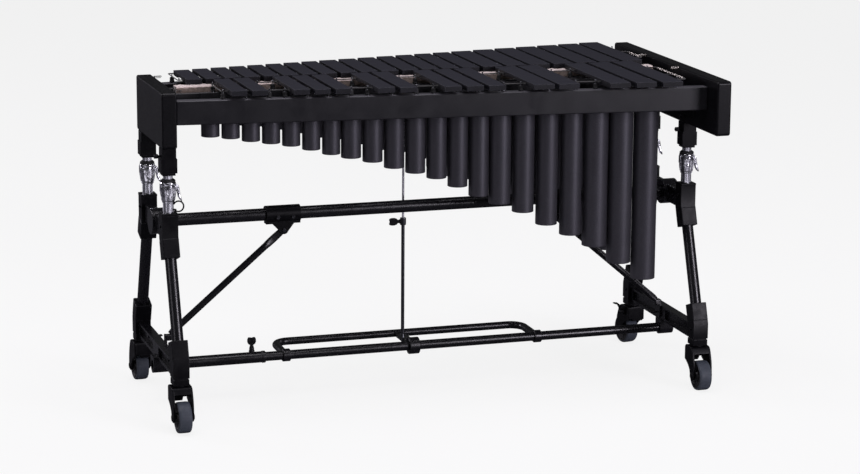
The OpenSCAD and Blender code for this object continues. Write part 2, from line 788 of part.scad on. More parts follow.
// tube round the lower beam's high end, with a boss for the hand screw
module lower_beam_sleeve() {
    x0 = -post_x - 20;
    color("#1f1f22") difference() {
        union() {
            translate([x0, 0, low_beam_z]) cyl_x(beam_sleeve_d, -417 - x0);
            translate([sleeve_screw_x, 0, low_beam_z + 11])
                cylinder(d = 15, h = sleeve_boss_h - 11);
        }
        translate([x0 - 10, 0, low_beam_z]) cyl_x(low_beam_d, 400);
        translate([sleeve_screw_x, 0, low_beam_z]) cylinder(d = bolt_d, h = 40);
    }
}
module frame_screws() {
    color("#4a4a50") {
        four_corners() {
            // inner faces of the leg brackets and the upper crossbars
            translate([post_x - block_w / 2, post_y, 494]) rotate([0, -90, 0]) screw_head();
            translate([post_x - block_w / 2, foot_y, 158]) rotate([0, -90, 0])
                screw_head(8, 2.5);
            translate([post_x - crossbar_w / 2, 60, 480]) rotate([0, -90, 0])
                screw_head(8, 2.5);
            // outer faces of the upper leg brackets
            translate([post_x + block_w / 2, post_y, 494]) rotate([0, 90, 0]) screw_head();
        }
        both_ends() {
            // pins, heads and nuts of the beam clamps
            translate([lobe_x, -9, lobe_z]) {
                cyl_y(lobe_pin_d, 18);
                rotate([90, 0, 0]) cylinder(d = 10, h = 3);
            }
            translate([lobe_x, 9, lobe_z]) rotate([-90, 0, 0])
                cylinder(d = 11, h = 5, $fn = 6);
            for (x = clamp_screw_xs)
                translate([x, clamp_screw_y, clamp_screw_z]) rotate([90, 0, 0])
                    screw_head(8, 3);
            // crossbar screws in the open channels
            for (y = [-120, 120])
                translate([post_x + 4, y, crossbar_bolt_z]) rotate([0, 90, 0])
                    screw_head(8, 2.5);
        }
        // bolt through the high-end brace foot
        translate([-post_x + 17, 0, crossbar_bolt_z]) cyl_x(10, 4);
        translate([-post_x - 12, 0, crossbar_bolt_z]) cyl_x(bolt_d, 30);
    }
}
// open ring beside the high-end front post, above its leg bracket
module tether_loop() {
    color("#0f0f10") translate([-post_x + 24.1, -post_y - 8, 543])
        rotate([90, 0, 0]) rotate([0, 0, -150])
            rotate_extrude(angle = 300) translate([13, 0]) circle(d = 2.6, $fn = 24);
}

// ---------- hand screws ----------
rod_screw_z = 435;
rod_pad_l = 8;                             // pad's outer face, from the rod's axis

module sleeve_wing_screw() {
    color("#18181a")
        translate([sleeve_screw_x, 0, low_beam_z + sleeve_boss_h + clearance])
            wing_screw(shaft_l = 14, span = 23, h = 27);
}
module crossbar_wing_screw() {
    color("#18181a")
        translate([post_x - low_plate_inset - clearance, 0, crossbar_bolt_z])
            rotate([0, -90, 0]) wing_screw(shaft_l = 24, span = 24);
}
module rod_wing_screw() {
    color("#18181a") translate([rod_x - rod_pad_l - clearance, rod_y, rod_screw_z])
        rotate([0, -90, 0]) wing_screw(shaft_l = 4, span = 20, h = 30);
}

// ---------- damper ----------
guide_x = 636;
guide_d = 8;
guide_w = 30;
guide_top = 751;                           // top of the guides' shelves
guide_t = 3;
damper_y = 15;                             // centre line of the damper
damper_bottom = 780;
damper_h = 22;
rod_d = 6;

module damper_guides() {
    color("#2c2c30") both_ends() {
        translate([inner_x - guide_t, damper_y - guide_w / 2, 722])
            cube([guide_t, guide_w, 52]);
        translate([guide_x - 16, damper_y - guide_w / 2, guide_top - guide_t])
            cube([inner_x - guide_x + 16, guide_w, guide_t]);
        translate([guide_x, damper_y, guide_top - 2]) cylinder(d = guide_d, h = 48);
    }
}
module damper_springs() {
    color("#c8c8cc") both_ends() translate([guide_x, damper_y, guide_top + clearance])
        coil(17, 2, damper_bottom - guide_top - 2 * clearance, 5);
}
module damper_beam() {
    color("#8f9197") difference() {
        translate([-655, damper_y - 20, damper_bottom]) cube([1310, 40, damper_h]);
        // hollows on both sides of the middle
        for (x = [-600, 40])
            translate([x, damper_y - 15, damper_bottom + 3]) cube([560, 30, 15]);
        for (end = [high, low])
            translate([end * guide_x, damper_y, damper_bottom - 10])
                cylinder(d = guide_d + 2 * clearance, h = 40);
    }
}
module damper_felt() {
    z = damper_bottom + damper_h;
    color("#d9bfb8") difference() {
        translate([-640, damper_y - 18, z]) cube([1280, 36, 18]);
        for (end = [high, low])
            translate([end * guide_x, damper_y, z - 7]) cylinder(d = 14, h = 40);
    }
}
// rod with a hexagonal nut and a plate under the damper beam
module damper_rod() {
    color("#6e7076") translate([rod_x, rod_y, 0]) union() {
        translate([0, 0, 160]) cylinder(d = rod_d, h = damper_bottom - 160);
        translate([0, 0, damper_bottom - 12]) cylinder(d = 14, h = 12, $fn = 6);
        translate([-14, -8, damper_bottom - 4]) cube([28, 16, 4]);
    }
}
module damper_rod_tube() {
    slot_d = 6.7;
    slot_y = [-2.2, 0.8];                  // the slot's two centres
    color("#55565c") translate([rod_x, rod_y, 0]) difference() {
        union() {
            translate([0, 0, 118]) cylinder(d = 9, h = 326);
            translate([0, 0, rod_screw_z - 10]) cylinder(d = 16, h = 20);
            translate([-rod_pad_l, -4, rod_screw_z - 5]) cube([rod_pad_l, 8, 10]);
            // flattened, slotted eye round the pedal's pin
            translate([-2, -8, low_beam_z]) cube([4, 16, 18]);
            translate([-2, 0, low_beam_z]) cyl_x(16, 4);
        }
        translate([0, 0, 140]) cylinder(d = rod_d + 2 * clearance, h = 330);
        translate([-14, 0, rod_screw_z]) cyl_x(bolt_d, 12);
        for (y = slot_y) translate([-4, y, low_beam_z]) cyl_x(slot_d, 8);
        translate([-4, slot_y[0], low_beam_z - slot_d / 2])
            cube([8, slot_y[1] - slot_y[0], slot_d]);
    }
}
// U-shaped bar hinged on the lower beam, with a middle arm to the rod
module pedal_frame() {
    x0 = -361;
    x1 = 327;
    arm_x = -31;
    arm_w = 28;
    bend_r = 38;
    bar_d = 20;
    module bend() {
        rotate_extrude(angle = 90) translate([bend_r, 0]) circle(d = bar_d);
    }
    color("#1c1c1f") translate([0, 0, low_beam_z]) difference() {
        union() {
            for (x = [x0, x1]) {
                translate([x - 10, 0, 0]) cyl_x(33, 20);
                translate([x, 14, 0]) cyl_y(bar_d, pedal_reach - bend_r - 14);
            }
            translate([x0 + bend_r, pedal_reach, 0]) cyl_x(bar_d, x1 - x0 - 2 * bend_r);
            translate([x0 + bend_r, pedal_reach - bend_r, 0]) rotate([0, 0, 90]) bend();
            translate([x1 - bend_r, pedal_reach - bend_r, 0]) bend();
            // middle arm, and the pin that carries the rod's eye
            translate([arm_x, 0, 0]) cyl_x(44, arm_w);
            translate([arm_x, 16, -4]) cube([arm_w, pedal_reach - 20, 8]);
            translate([rod_x - 5, rod_y, 0]) {
                cyl_x(6, 14);
                cyl_x(9, 1.8);
            }
        }
        translate([x0 - 20, 0, 0]) cyl_x(low_beam_d + 2 * clearance, x1 - x0 + 40);
    }
}

// ---------- casters ----------
wheel_r = wheel_d / 2;
axle_d = 8;
fork_half_w = 26;
cheek_t = 5;
hood_top = 112;
ear_xs = [-6, 10];                         // ears that carry the brake
ear_t = 3;
brake_y = 31.2;
brake_z = 96;
brake_pin_d = 5;

function swivel(end, side) = end == high ?
    (side == front ? swivel_hf : swivel_hb) : (side == front ? swivel_lf : swivel_lb);
// place children at a caster, swivelled; the wheel trails towards local +X
module at_caster(end, side) {
    translate([end * post_x, side * foot_y, 0]) rotate([0, 0, swivel(end, side)]) children();
}
// brakes sit on the local -Y side at the high end, +Y at the low end
module brake_side(end) {
    mirror([0, end == high ? 1 : 0, 0]) children();
}
module fork_shape() {
    // one cheek, (x, z)
    cheek = [[-22, hood_top], [24, hood_top], [30, 92], [trail + 11, wheel_r + 4],
        [trail, wheel_r], [trail - 11, wheel_r - 4], [-22, 72]];
    difference() {
        union() {
            translate([-22, -fork_half_w, 86]) cube([46, 2 * fork_half_w, 27]);
            for (y = [cheek_t - fork_half_w, fork_half_w])
                translate([0, y, 0]) rotate([90, 0, 0]) linear_extrude(cheek_t) {
                    polygon(cheek);
                    translate([trail, wheel_r]) circle(11.5);
                }
            translate([0, 0, hood_top]) {
                cylinder(d = 30, h = 3.9);
                cylinder(d = stem_d - 2 * clearance, h = 40);
            }
            // axle and its end caps
            translate([trail, -fork_half_w, wheel_r]) cyl_y(axle_d, 2 * fork_half_w);
            for (y = [-fork_half_w - 2.5, fork_half_w])
                translate([trail, y, wheel_r]) cyl_y(12, 2.5);
        }
        // hollow under the hood
        translate([-17, -21, 80]) cube([60, 42, 22]);
    }
}
module fork(end, side) {
    color("#19191b") at_caster(end, side) {
        fork_shape();
        // only the back casters have brakes
        if (side == back) brake_side(end) {
            for (x = ear_xs) translate([x, 25, 88]) cube([ear_t, 11, 14]);
            translate([ear_xs[0], brake_y, brake_z])
                cyl_x(brake_pin_d, ear_xs[1] + ear_t - ear_xs[0]);
        }
    }
}
// profiles are (radius, distance along the axle)
module wheel(end, side) {
    bore_r = axle_d / 2 + clearance;
    tyre = [[wheel_r - 6, -16], [wheel_r - 3.5, -16.4], [wheel_r - 0.8, -13.5],
        [wheel_r, -9], [wheel_r, 9], [wheel_r - 0.8, 13.5], [wheel_r - 3.5, 16.4],
        [wheel_r - 6, 16]];
    hub = [[bore_r, -18], [11, -18], [13, -13], [wheel_r - 9, -13],
        [wheel_r - 8, -15.5], [wheel_r - 6, -15.5], [wheel_r - 6, 15.5],
        [wheel_r - 8, 15.5], [wheel_r - 9, 13], [13, 13], [11, 18], [bore_r, 18]];
    at_caster(end, side) translate([trail, 0, wheel_r]) rotate([90, 0, 0]) {
        color("#4b4e58") rotate_extrude($fn = 72) polygon(tyre);
        color("#17171a") rotate_extrude($fn = 72) polygon(hub);
    }
}
// barrel between the fork's ears, with an arm up to a sloping plate
module brake(end) {
    x0 = ear_xs[0] + ear_t + 2 * clearance;
    barrel_l = ear_xs[1] - x0 - 2 * clearance;
    color("#151517") at_caster(end, back) brake_side(end)
        translate([x0, brake_y, brake_z]) difference() {
            union() {
                cyl_x(10, barrel_l);
                translate([0.6, 0, 0]) extrude_x(11.6)
                    polygon([[0, 3], [4, 2.4], [13, 20], [9, 21.5]]);
                translate([-2.6, 0, 0]) extrude_x(18)
                    polygon([[8.6, 20], [10.5, 16.5], [24.6, 24], [22.7, 27.5]]);
            }
            translate([-1, 0, 0]) cyl_x(brake_pin_d + 2 * clearance, 16);
        }
}
module caster_fork_high_front() { fork(high, front); }
module caster_fork_high_back() { fork(high, back); }
module caster_fork_low_front() { fork(low, front); }
module caster_fork_low_back() { fork(low, back); }
module caster_wheel_high_front() { wheel(high, front); }
module caster_wheel_high_back() { wheel(high, back); }
module caster_wheel_low_front() { wheel(low, front); }
module caster_wheel_low_back() { wheel(low, back); }
module caster_brake_high() { brake(high); }
module caster_brake_low() { brake(low); }

high_end_panel();
low_end_panel();
front_rail();
back_rail();
inner_rails();
panel_brackets();
panel_bolts();
cord_posts();
post_sleeves();
bar_cords();
cord_springs();
natural_bars();
accidental_bars();
natural_resonators();
accidental_resonators();
resonator_stoppers();
resonator_rails();
post_sockets();
socket_screws();
upper_posts();
damper_guides();
damper_springs();
damper_beam();
damper_felt();
damper_rod();
damper_rod_tube();
rod_wing_screw();
pedal_frame();
lower_posts();
post_clamps();
clamp_gaskets();
upper_leg_brackets();
leg_tubes();
lower_leg_brackets();
caster_sockets();
upper_crossbars();
lower_crossbars();
upper_beam();
beam_clamps();
diagonal_braces();
lower_beam();
lower_beam_sleeve();
frame_screws();
tether_loop();
sleeve_wing_screw();
crossbar_wing_screw();
clamp_lever_high_front();
clamp_lever_high_back();
clamp_lever_low_front();
clamp_lever_low_back();
caster_fork_high_front();
caster_fork_high_back();
caster_fork_low_front();
caster_fork_low_back();
caster_wheel_high_front();
caster_wheel_high_back();
caster_wheel_low_front();
caster_wheel_low_back();
caster_brake_high();
caster_brake_low();
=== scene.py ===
# A mallet instrument on a wheeled stand: two rows of bars over tube resonators, with a damper
# felt between the rows, worked by a pedal. The bars lie side by side along X, high end towards
# -X; the natural row is on the +Y side of the accidental row. Z is up, with the floor at 0.
# Shapes are built in millimetres and turned into metres when a piece is made.
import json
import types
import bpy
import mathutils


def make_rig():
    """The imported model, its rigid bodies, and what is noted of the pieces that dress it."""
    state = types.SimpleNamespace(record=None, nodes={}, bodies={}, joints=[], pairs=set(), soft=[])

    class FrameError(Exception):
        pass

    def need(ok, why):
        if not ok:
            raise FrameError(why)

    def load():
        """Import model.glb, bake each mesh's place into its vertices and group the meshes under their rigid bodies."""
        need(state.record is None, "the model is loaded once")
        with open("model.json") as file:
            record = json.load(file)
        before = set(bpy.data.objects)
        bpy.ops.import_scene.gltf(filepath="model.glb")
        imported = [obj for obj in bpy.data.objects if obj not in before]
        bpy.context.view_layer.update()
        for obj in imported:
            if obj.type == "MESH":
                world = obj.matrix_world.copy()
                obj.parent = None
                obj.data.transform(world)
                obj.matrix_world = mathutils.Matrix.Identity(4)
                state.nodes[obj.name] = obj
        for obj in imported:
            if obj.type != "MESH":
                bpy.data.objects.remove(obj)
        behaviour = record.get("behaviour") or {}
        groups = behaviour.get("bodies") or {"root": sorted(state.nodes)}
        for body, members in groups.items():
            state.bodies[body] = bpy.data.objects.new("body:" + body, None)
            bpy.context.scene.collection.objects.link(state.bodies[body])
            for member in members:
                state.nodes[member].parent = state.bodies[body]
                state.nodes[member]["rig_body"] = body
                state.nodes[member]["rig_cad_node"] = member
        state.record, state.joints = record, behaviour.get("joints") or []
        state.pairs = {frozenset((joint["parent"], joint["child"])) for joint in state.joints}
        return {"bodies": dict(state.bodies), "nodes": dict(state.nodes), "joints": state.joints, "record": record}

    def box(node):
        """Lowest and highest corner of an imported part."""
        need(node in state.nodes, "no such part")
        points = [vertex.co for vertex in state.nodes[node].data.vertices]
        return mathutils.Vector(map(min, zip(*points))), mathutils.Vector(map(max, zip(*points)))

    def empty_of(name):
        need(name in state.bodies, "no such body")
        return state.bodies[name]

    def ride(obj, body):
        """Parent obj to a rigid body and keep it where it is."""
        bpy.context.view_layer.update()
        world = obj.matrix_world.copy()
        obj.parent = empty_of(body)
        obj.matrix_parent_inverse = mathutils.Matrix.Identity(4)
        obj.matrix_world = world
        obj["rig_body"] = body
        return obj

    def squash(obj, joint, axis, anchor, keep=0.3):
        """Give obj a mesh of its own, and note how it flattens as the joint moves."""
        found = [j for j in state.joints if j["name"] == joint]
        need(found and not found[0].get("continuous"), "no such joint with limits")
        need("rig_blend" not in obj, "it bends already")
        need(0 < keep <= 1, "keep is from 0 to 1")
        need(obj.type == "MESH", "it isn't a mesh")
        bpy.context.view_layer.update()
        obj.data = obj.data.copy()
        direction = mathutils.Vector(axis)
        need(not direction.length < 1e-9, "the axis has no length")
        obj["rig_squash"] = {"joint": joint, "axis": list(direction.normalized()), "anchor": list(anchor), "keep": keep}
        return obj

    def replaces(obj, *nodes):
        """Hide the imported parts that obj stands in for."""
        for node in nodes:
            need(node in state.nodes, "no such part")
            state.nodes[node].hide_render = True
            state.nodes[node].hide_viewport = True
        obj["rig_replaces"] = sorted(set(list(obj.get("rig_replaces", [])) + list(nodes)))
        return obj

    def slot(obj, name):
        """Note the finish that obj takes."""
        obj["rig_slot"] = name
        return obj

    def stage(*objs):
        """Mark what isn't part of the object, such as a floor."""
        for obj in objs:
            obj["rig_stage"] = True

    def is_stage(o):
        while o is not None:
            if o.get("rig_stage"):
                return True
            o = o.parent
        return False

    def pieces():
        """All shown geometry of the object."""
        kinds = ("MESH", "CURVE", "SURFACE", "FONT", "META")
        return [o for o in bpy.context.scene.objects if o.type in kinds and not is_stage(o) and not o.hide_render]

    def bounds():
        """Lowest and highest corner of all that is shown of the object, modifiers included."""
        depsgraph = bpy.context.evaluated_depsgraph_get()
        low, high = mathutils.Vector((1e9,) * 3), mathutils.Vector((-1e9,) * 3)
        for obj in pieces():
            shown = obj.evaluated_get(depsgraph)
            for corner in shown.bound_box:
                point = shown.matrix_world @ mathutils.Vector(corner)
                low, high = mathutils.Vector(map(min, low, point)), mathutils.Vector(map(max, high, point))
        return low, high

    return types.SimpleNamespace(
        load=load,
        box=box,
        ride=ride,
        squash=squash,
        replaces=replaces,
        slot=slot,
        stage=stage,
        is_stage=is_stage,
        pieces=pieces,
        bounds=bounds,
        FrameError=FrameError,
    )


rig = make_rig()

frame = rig.load()

import bmesh
import bpy
import json
import math
import random
from mathutils import Matrix, Vector, noise

CAD_BOX = [list(corner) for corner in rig.bounds()]
NODES = frame["nodes"]
SLOTS = {part["node"]: part["material_slot"] for part in frame["record"]["subparts"]}
BODY = {node: body for body, nodes in frame["record"]["behaviour"]["bodies"].items()
        for node in nodes}
JOINTS = {joint["name"]: joint for joint in frame["joints"]}
MM = 0.001


# ------------------------------------------------------------------ materials
class Finish:
    """A node material in linear colours. Each step adds to its colour, roughness or normal."""

    def __init__(self, name, colour, rough, metal=0.0, specular=0.5):
        self.material = bpy.data.materials.new(name)
        self.material.use_nodes = True
        self.tree = self.material.node_tree
        self.shader = self.tree.nodes["Principled BSDF"]
        self.shader.inputs["Metallic"].default_value = metal
        self.shader.inputs["Specular IOR Level"].default_value = specular
        self.coords = self.node("ShaderNodeTexCoord").outputs["Object"]
        self.colour = self.constant("ShaderNodeRGB", (*colour, 1))
        self.rough = self.constant("ShaderNodeValue", rough)
        self.normal = None
        self.material.diffuse_color = (*colour, 1)

    def node(self, kind, **settings):
        node = self.tree.nodes.new(kind)
        for key, value in settings.items():
            setattr(node, key, value)
        return node

    def constant(self, kind, value):
        output = self.node(kind).outputs[0]
        output.default_value = value
        return output

    def link(self, source, target):
        self.tree.links.new(source, target)

    def put(self, socket, value):
        """Sets a socket to a number or links an output to it."""
        if isinstance(value, (int, float)):
            socket.default_value = value
        else:
            self.link(value, socket)

    def math(self, operation, first, second=0.0, clamp=False):
        node = self.node("ShaderNodeMath", operation=operation, use_clamp=clamp)
        for socket, value in zip(node.inputs, (first, second, 0.0)):
            self.put(socket, value)
        return node.outputs[0]

    def noise(self, scale, detail=4, rough=0.55, stretch=None, warp=0.0):
        vector = self.coords
        if stretch:
            mapping = self.node("ShaderNodeMapping")
            self.link(self.coords, mapping.inputs["Vector"])
            mapping.inputs["Scale"].default_value = stretch
            vector = mapping.outputs[0]
        node = self.node("ShaderNodeTexNoise")
        self.link(vector, node.inputs["Vector"])
        for key, value in (("Scale", scale), ("Detail", detail), ("Roughness", rough),
                           ("Distortion", warp)):
            node.inputs[key].default_value = value
        return node.outputs["Fac"]

    def remap(self, value, span, to=(0.0, 1.0)):
        node = self.node("ShaderNodeMapRange", clamp=True)
        self.put(node.inputs["Value"], value)
        for key, number in zip(("From Min", "From Max", "To Min", "To Max"), (*span, *to)):
            node.inputs[key].default_value = number
        return node.outputs[0]

    def split(self, vector):
        node = self.node("ShaderNodeSeparateXYZ")
        self.link(vector, node.inputs[0])
        return node.outputs

    def tint(self, factor, colour):
        mix = self.node("ShaderNodeMix", data_type="RGBA")
        self.put(mix.inputs[0], factor)
        self.link(self.colour, mix.inputs[6])
        mix.inputs[7].default_value = (*colour, 1)
        self.colour = mix.outputs[2]

    def tint_by(self, field, span, amount, colour):
        """Tints from nothing to amount as the field crosses span."""
        self.tint(self.remap(field, span, to=(0, amount)), colour)

    def mottle(self, scale, span, amount, colour):
        self.tint_by(self.noise(scale), span, amount, colour)

    def tint_islands(self, amount, colour):
        """Tints each loose solid by its own random share of amount."""
        share = self.node("ShaderNodeNewGeometry").outputs["Random Per Island"]
        self.tint(self.math("MULTIPLY", share, amount), colour)

    def tint_tops(self, amount, colour):
        """Tints the faces that point up, as painted light from above."""
        # painted light: the faces that point up take the colour
        up = self.split(self.node("ShaderNodeNewGeometry").outputs["Normal"])[2]
        self.tint_by(up, (0.55, 0.95), amount, colour)

    def add_rough(self, value):
        self.rough = self.math("ADD", self.rough, value, clamp=True)

    def vary_rough(self, scale, amount):
        field = self.noise(scale, detail=5)
        self.add_rough(self.remap(field, (0.3, 0.7), to=(-amount, amount)))

    def bump(self, height, distance, strength):
        node = self.node("ShaderNodeBump")
        node.inputs["Strength"].default_value = strength
        node.inputs["Distance"].default_value = distance
        self.link(height, node.inputs["Height"])
        if self.normal is not None:
            self.link(self.normal, node.inputs["Normal"])
        self.normal = node.outputs[0]

    def edges(self, radius, wear, colour, rough=None):
        """Rounds sharp edges in the shading and tints them to a colour, as edge wear and a painted edge highlight. Goes
        before any bump.
        """
        bevel = self.node("ShaderNodeBevel", samples=4)
        bevel.inputs["Radius"].default_value = radius
        geometry = self.node("ShaderNodeNewGeometry")
        dot = self.node("ShaderNodeVectorMath", operation="DOT_PRODUCT")
        self.link(bevel.outputs[0], dot.inputs[0])
        self.link(geometry.outputs["Normal"], dot.inputs[1])
        mask = self.remap(dot.outputs["Value"], (0.999, 0.93))
        patches = self.remap(self.noise(180), (0.38, 0.62), to=(0.25, 1.0))
        mask = self.math("MULTIPLY", self.math("MULTIPLY", mask, patches), wear)
        # edge wear and painted edge highlight: the rounded edges take the colour
        self.tint(mask, colour)
        if rough is not None:
            self.add_rough(self.math("MULTIPLY", mask, rough))
        self.normal = bevel.outputs[0]

    def done(self, **inputs):
        self.link(self.colour, self.shader.inputs["Base Color"])
        self.link(self.rough, self.shader.inputs["Roughness"])
        if self.normal is not None:
            self.link(self.normal, self.shader.inputs["Normal"])
        for key, value in inputs.items():
            self.put(self.shader.inputs[key.replace("_", " ")], value)
        return self.material


def scaled(colour, factor):
    return tuple(min(1, channel * factor) for channel in colour)


def bar_finish():
    """Matt blue-black coat with a fine speckle, each bar a shade apart, with painted light on the tops and lighter
    edges from wear and painted highlight.
    """
    mat = Finish("bar_coat", (0.0030, 0.0030, 0.0042), rough=0.48, specular=0.17)
    # painted light: the tops are made lighter than the sides and ends, as if lit from above
    mat.tint_tops(1.0, colour=(0.0210, 0.0208, 0.0280))
    # edge wear and painted edge highlight: the edges are lightened
    mat.edges(radius=0.0012, wear=0.6, colour=(0.15, 0.15, 0.18), rough=-0.1)
    mat.tint_islands(0.3, colour=(0.015, 0.015, 0.021))
    mat.mottle(9, span=(0.35, 0.75), amount=0.25, colour=(0.023, 0.023, 0.031))
    mat.mottle(2600, span=(0.55, 0.72), amount=0.5, colour=(0.034, 0.034, 0.044))
    mat.vary_rough(14, amount=0.05)
    mat.vary_rough(600, amount=0.05)
    mat.bump(mat.noise(2200, detail=3), distance=0.00006, strength=0.5)
    return mat.done()


def panel_finish():
    """Black lacquer over an open grain that runs across the end panels."""
    mat = Finish("panel_lacquer", (0.0022, 0.0021, 0.0029), rough=0.42, specular=0.12)
    # edge wear and painted edge highlight: the edges are lightened
    mat.edges(radius=0.0012, wear=0.4, colour=(0.055, 0.055, 0.062), rough=-0.08)
    grain = mat.noise(22, detail=8, rough=0.62, stretch=(3.0, 0.9, 22.0), warp=0.6)
    mat.tint_by(grain, span=(0.45, 0.7), amount=0.7, colour=(0.0074, 0.0072, 0.0092))
    pores = mat.noise(60, rough=0.6, stretch=(4.0, 0.8, 60.0))
    mat.add_rough(mat.remap(pores, (0.4, 0.65), to=(-0.05, 0.12)))
    mat.vary_rough(7, amount=0.05)
    mat.bump(grain, distance=0.0005, strength=0.32)
    mat.bump(pores, distance=0.00022, strength=0.35)
    return mat.done(Coat_Weight=0.12, Coat_Roughness=0.22)


def rail_finish():
    """Black, finely pebbled, with painted highlight on the faces that point up and lighter edges from wear and painted
    highlight.
    """
    mat = Finish("rail_pebble", (0.0034, 0.0031, 0.0052), rough=0.42, specular=0.52)
    # painted highlight: the faces that point up are lightened as if catching the light
    mat.tint_tops(0.9, colour=(0.085, 0.083, 0.094))
    # edge wear and painted edge highlight: the edges are lightened
    mat.edges(radius=0.0009, wear=0.4, colour=(0.06, 0.06, 0.068), rough=-0.08)
    pebble = mat.noise(520, detail=3, rough=0.6)
    mat.tint_by(pebble, span=(0.5, 0.72), amount=0.55, colour=(0.0110, 0.0104, 0.0155))
    mat.mottle(5, span=(0.3, 0.8), amount=0.35, colour=(0.0062, 0.0058, 0.0088))
    mat.vary_rough(26, amount=0.06)
    mat.bump(pebble, distance=0.00035, strength=0.5)
    mat.bump(mat.noise(1700, detail=2), distance=0.0001, strength=0.35)
    return mat.done()


def inner_rail_finish():
    mat = Finish("inner_rail_coat", (0.014, 0.014, 0.016), rough=0.34)
    # painted highlight lines along the edges, with some edge wear
    mat.edges(radius=0.0012, wear=0.75, colour=(0.20, 0.20, 0.21), rough=-0.1)
    mat.mottle(30, span=(0.4, 0.7), amount=0.4, colour=(0.024, 0.024, 0.027))
    mat.vary_rough(40, amount=0.08)
    mat.bump(mat.noise(700, detail=3), distance=0.00018, strength=0.4)
    return mat.done()


def resonator_finish():
    """Dark grey textured powder coat, each tube a shade apart."""
    mat = Finish("resonator_powder", (0.052, 0.050, 0.060), rough=0.44, metal=0.60, specular=0.45)
    # edge wear and painted edge highlight: the rims and edges are lightened
    mat.edges(radius=0.0007, wear=0.5, colour=(0.14, 0.14, 0.155), rough=-0.1)
    powder = mat.noise(430, rough=0.65)
    mat.tint_by(powder, span=(0.42, 0.66), amount=0.5, colour=(0.085, 0.083, 0.096))
    mat.mottle(1500, span=(0.62, 0.74), amount=0.55, colour=(0.17, 0.17, 0.19))
    mat.tint_islands(0.3, colour=(0.050, 0.048, 0.058))
    mat.vary_rough(18, amount=0.05)
    mat.bump(powder, distance=0.00045, strength=0.45)
    mat.bump(mat.noise(1500, detail=2), distance=0.00012, strength=0.35)
    return mat.done()


def stopper_finish():
    mat = Finish("stopper_cap", (0.030, 0.030, 0.036), rough=0.5, metal=0.1)
    # edge wear and painted edge highlight: the edges are lightened
    mat.edges(radius=0.0008, wear=0.3, colour=(0.09, 0.09, 0.1))
    mat.mottle(60, span=(0.4, 0.7), amount=0.5, colour=(0.045, 0.045, 0.052))
    mat.vary_rough(90, amount=0.08)
    mat.bump(mat.noise(900, detail=3), distance=0.0002, strength=0.4)
    return mat.done()


def painted(name, colour, edge, rough, pebble_scale, pebble_height, specular=0.5):
    """Powder coat with pebbles, and edges made lighter as wear and painted highlight."""
    mat = Finish(name, colour, rough, specular=specular)
    # edge wear and painted edge highlight: the edges are lightened
    mat.edges(radius=0.0011, wear=0.35, colour=edge, rough=-0.08)
    mat.mottle(12, span=(0.35, 0.75), amount=0.4, colour=scaled(colour, 1.5))
    pebble = mat.noise(pebble_scale, detail=3, rough=0.6)
    mat.tint_by(pebble, span=(0.5, 0.75), amount=0.35, colour=scaled(colour, 1.9))
    mat.vary_rough(30, amount=0.06)
    mat.vary_rough(260, amount=0.04)
    mat.bump(pebble, distance=pebble_height, strength=0.4)
    return mat.done()


def moulded_finish():
    """Spark-textured black plastic with lighter edges, rubbed and with a painted highlight."""
    mat = Finish("moulded_black", (0.0019, 0.0018, 0.0026), rough=0.38, specular=0.13)
    # edge wear and painted edge highlight: the edges are lightened
    mat.edges(radius=0.0016, wear=0.55, colour=(0.055, 0.055, 0.06), rough=-0.1)
    mat.mottle(16, span=(0.35, 0.7), amount=0.4, colour=(0.0044, 0.0042, 0.0056))
    spark = mat.noise(900, detail=2, rough=0.5)
    mat.tint_by(spark, span=(0.5, 0.8), amount=0.35, colour=(0.0076, 0.0074, 0.0092))
    mat.vary_rough(45, amount=0.07)
    mat.bump(spark, distance=0.00022, strength=0.45)
    mat.bump(mat.noise(35), distance=0.0004, strength=0.18)
    return mat.done()


def chrome_finish():
    """Chrome tube, faintly streaked along its length."""
    mat = Finish("post_chrome", (0.80, 0.81, 0.85), rough=0.15, metal=1.0)
    # edge wear and painted edge glint: the edges are lightened
    mat.edges(radius=0.0006, wear=0.3, colour=(0.9, 0.9, 0.92))
    streaks = mat.noise(40, detail=5, rough=0.6, stretch=(30.0, 30.0, 0.6))
    mat.tint_by(streaks, span=(0.4, 0.75), amount=0.5, colour=(0.42, 0.43, 0.46))
    mat.add_rough(mat.remap(streaks, (0.35, 0.7), to=(-0.03, 0.14)))
    mat.vary_rough(60, amount=0.05)
    mat.bump(streaks, distance=0.00006, strength=0.3)
    return mat.done()


def cast_finish():
    """Chromed casting with soft dimples, darkened in patches as a painted reflection."""
    mat = Finish("cast_chrome", (0.84, 0.85, 0.88), rough=0.17, metal=1.0)
    # edge wear and painted edge glint: the edges are lightened
    mat.edges(radius=0.0007, wear=0.4, colour=(0.92, 0.92, 0.94))
    dimples = mat.noise(110, rough=0.6)
    # painted reflection: dark patches stand in for the casting's broken dark reflections
    mat.tint_by(dimples, span=(0.42, 0.58), amount=0.8, colour=(0.20, 0.20, 0.225))
    mat.vary_rough(200, amount=0.07)
    mat.bump(dimples, distance=0.0016, strength=0.5)
    mat.bump(mat.noise(700, detail=2), distance=0.0001, strength=0.3)
    return mat.done()


def metal(name, colour, dark, rough, grain=(1, 1, 1)):
    """Bare metal with a darker grain, stretched by the grain's scale along each axis."""
    mat = Finish(name, colour, rough, metal=1.0)
    # edge wear and painted edge glint: the edges are lightened
    mat.edges(radius=0.0004, wear=0.4, colour=scaled(colour, 1.4))
    field = mat.noise(90, detail=5, rough=0.65, stretch=grain)
    mat.tint_by(field, span=(0.35, 0.7), amount=0.7, colour=dark)
    mat.vary_rough(300, amount=0.08)
    mat.vary_rough(40, amount=0.06)
    mat.bump(field, distance=0.0001, strength=0.4)
    return mat.done()


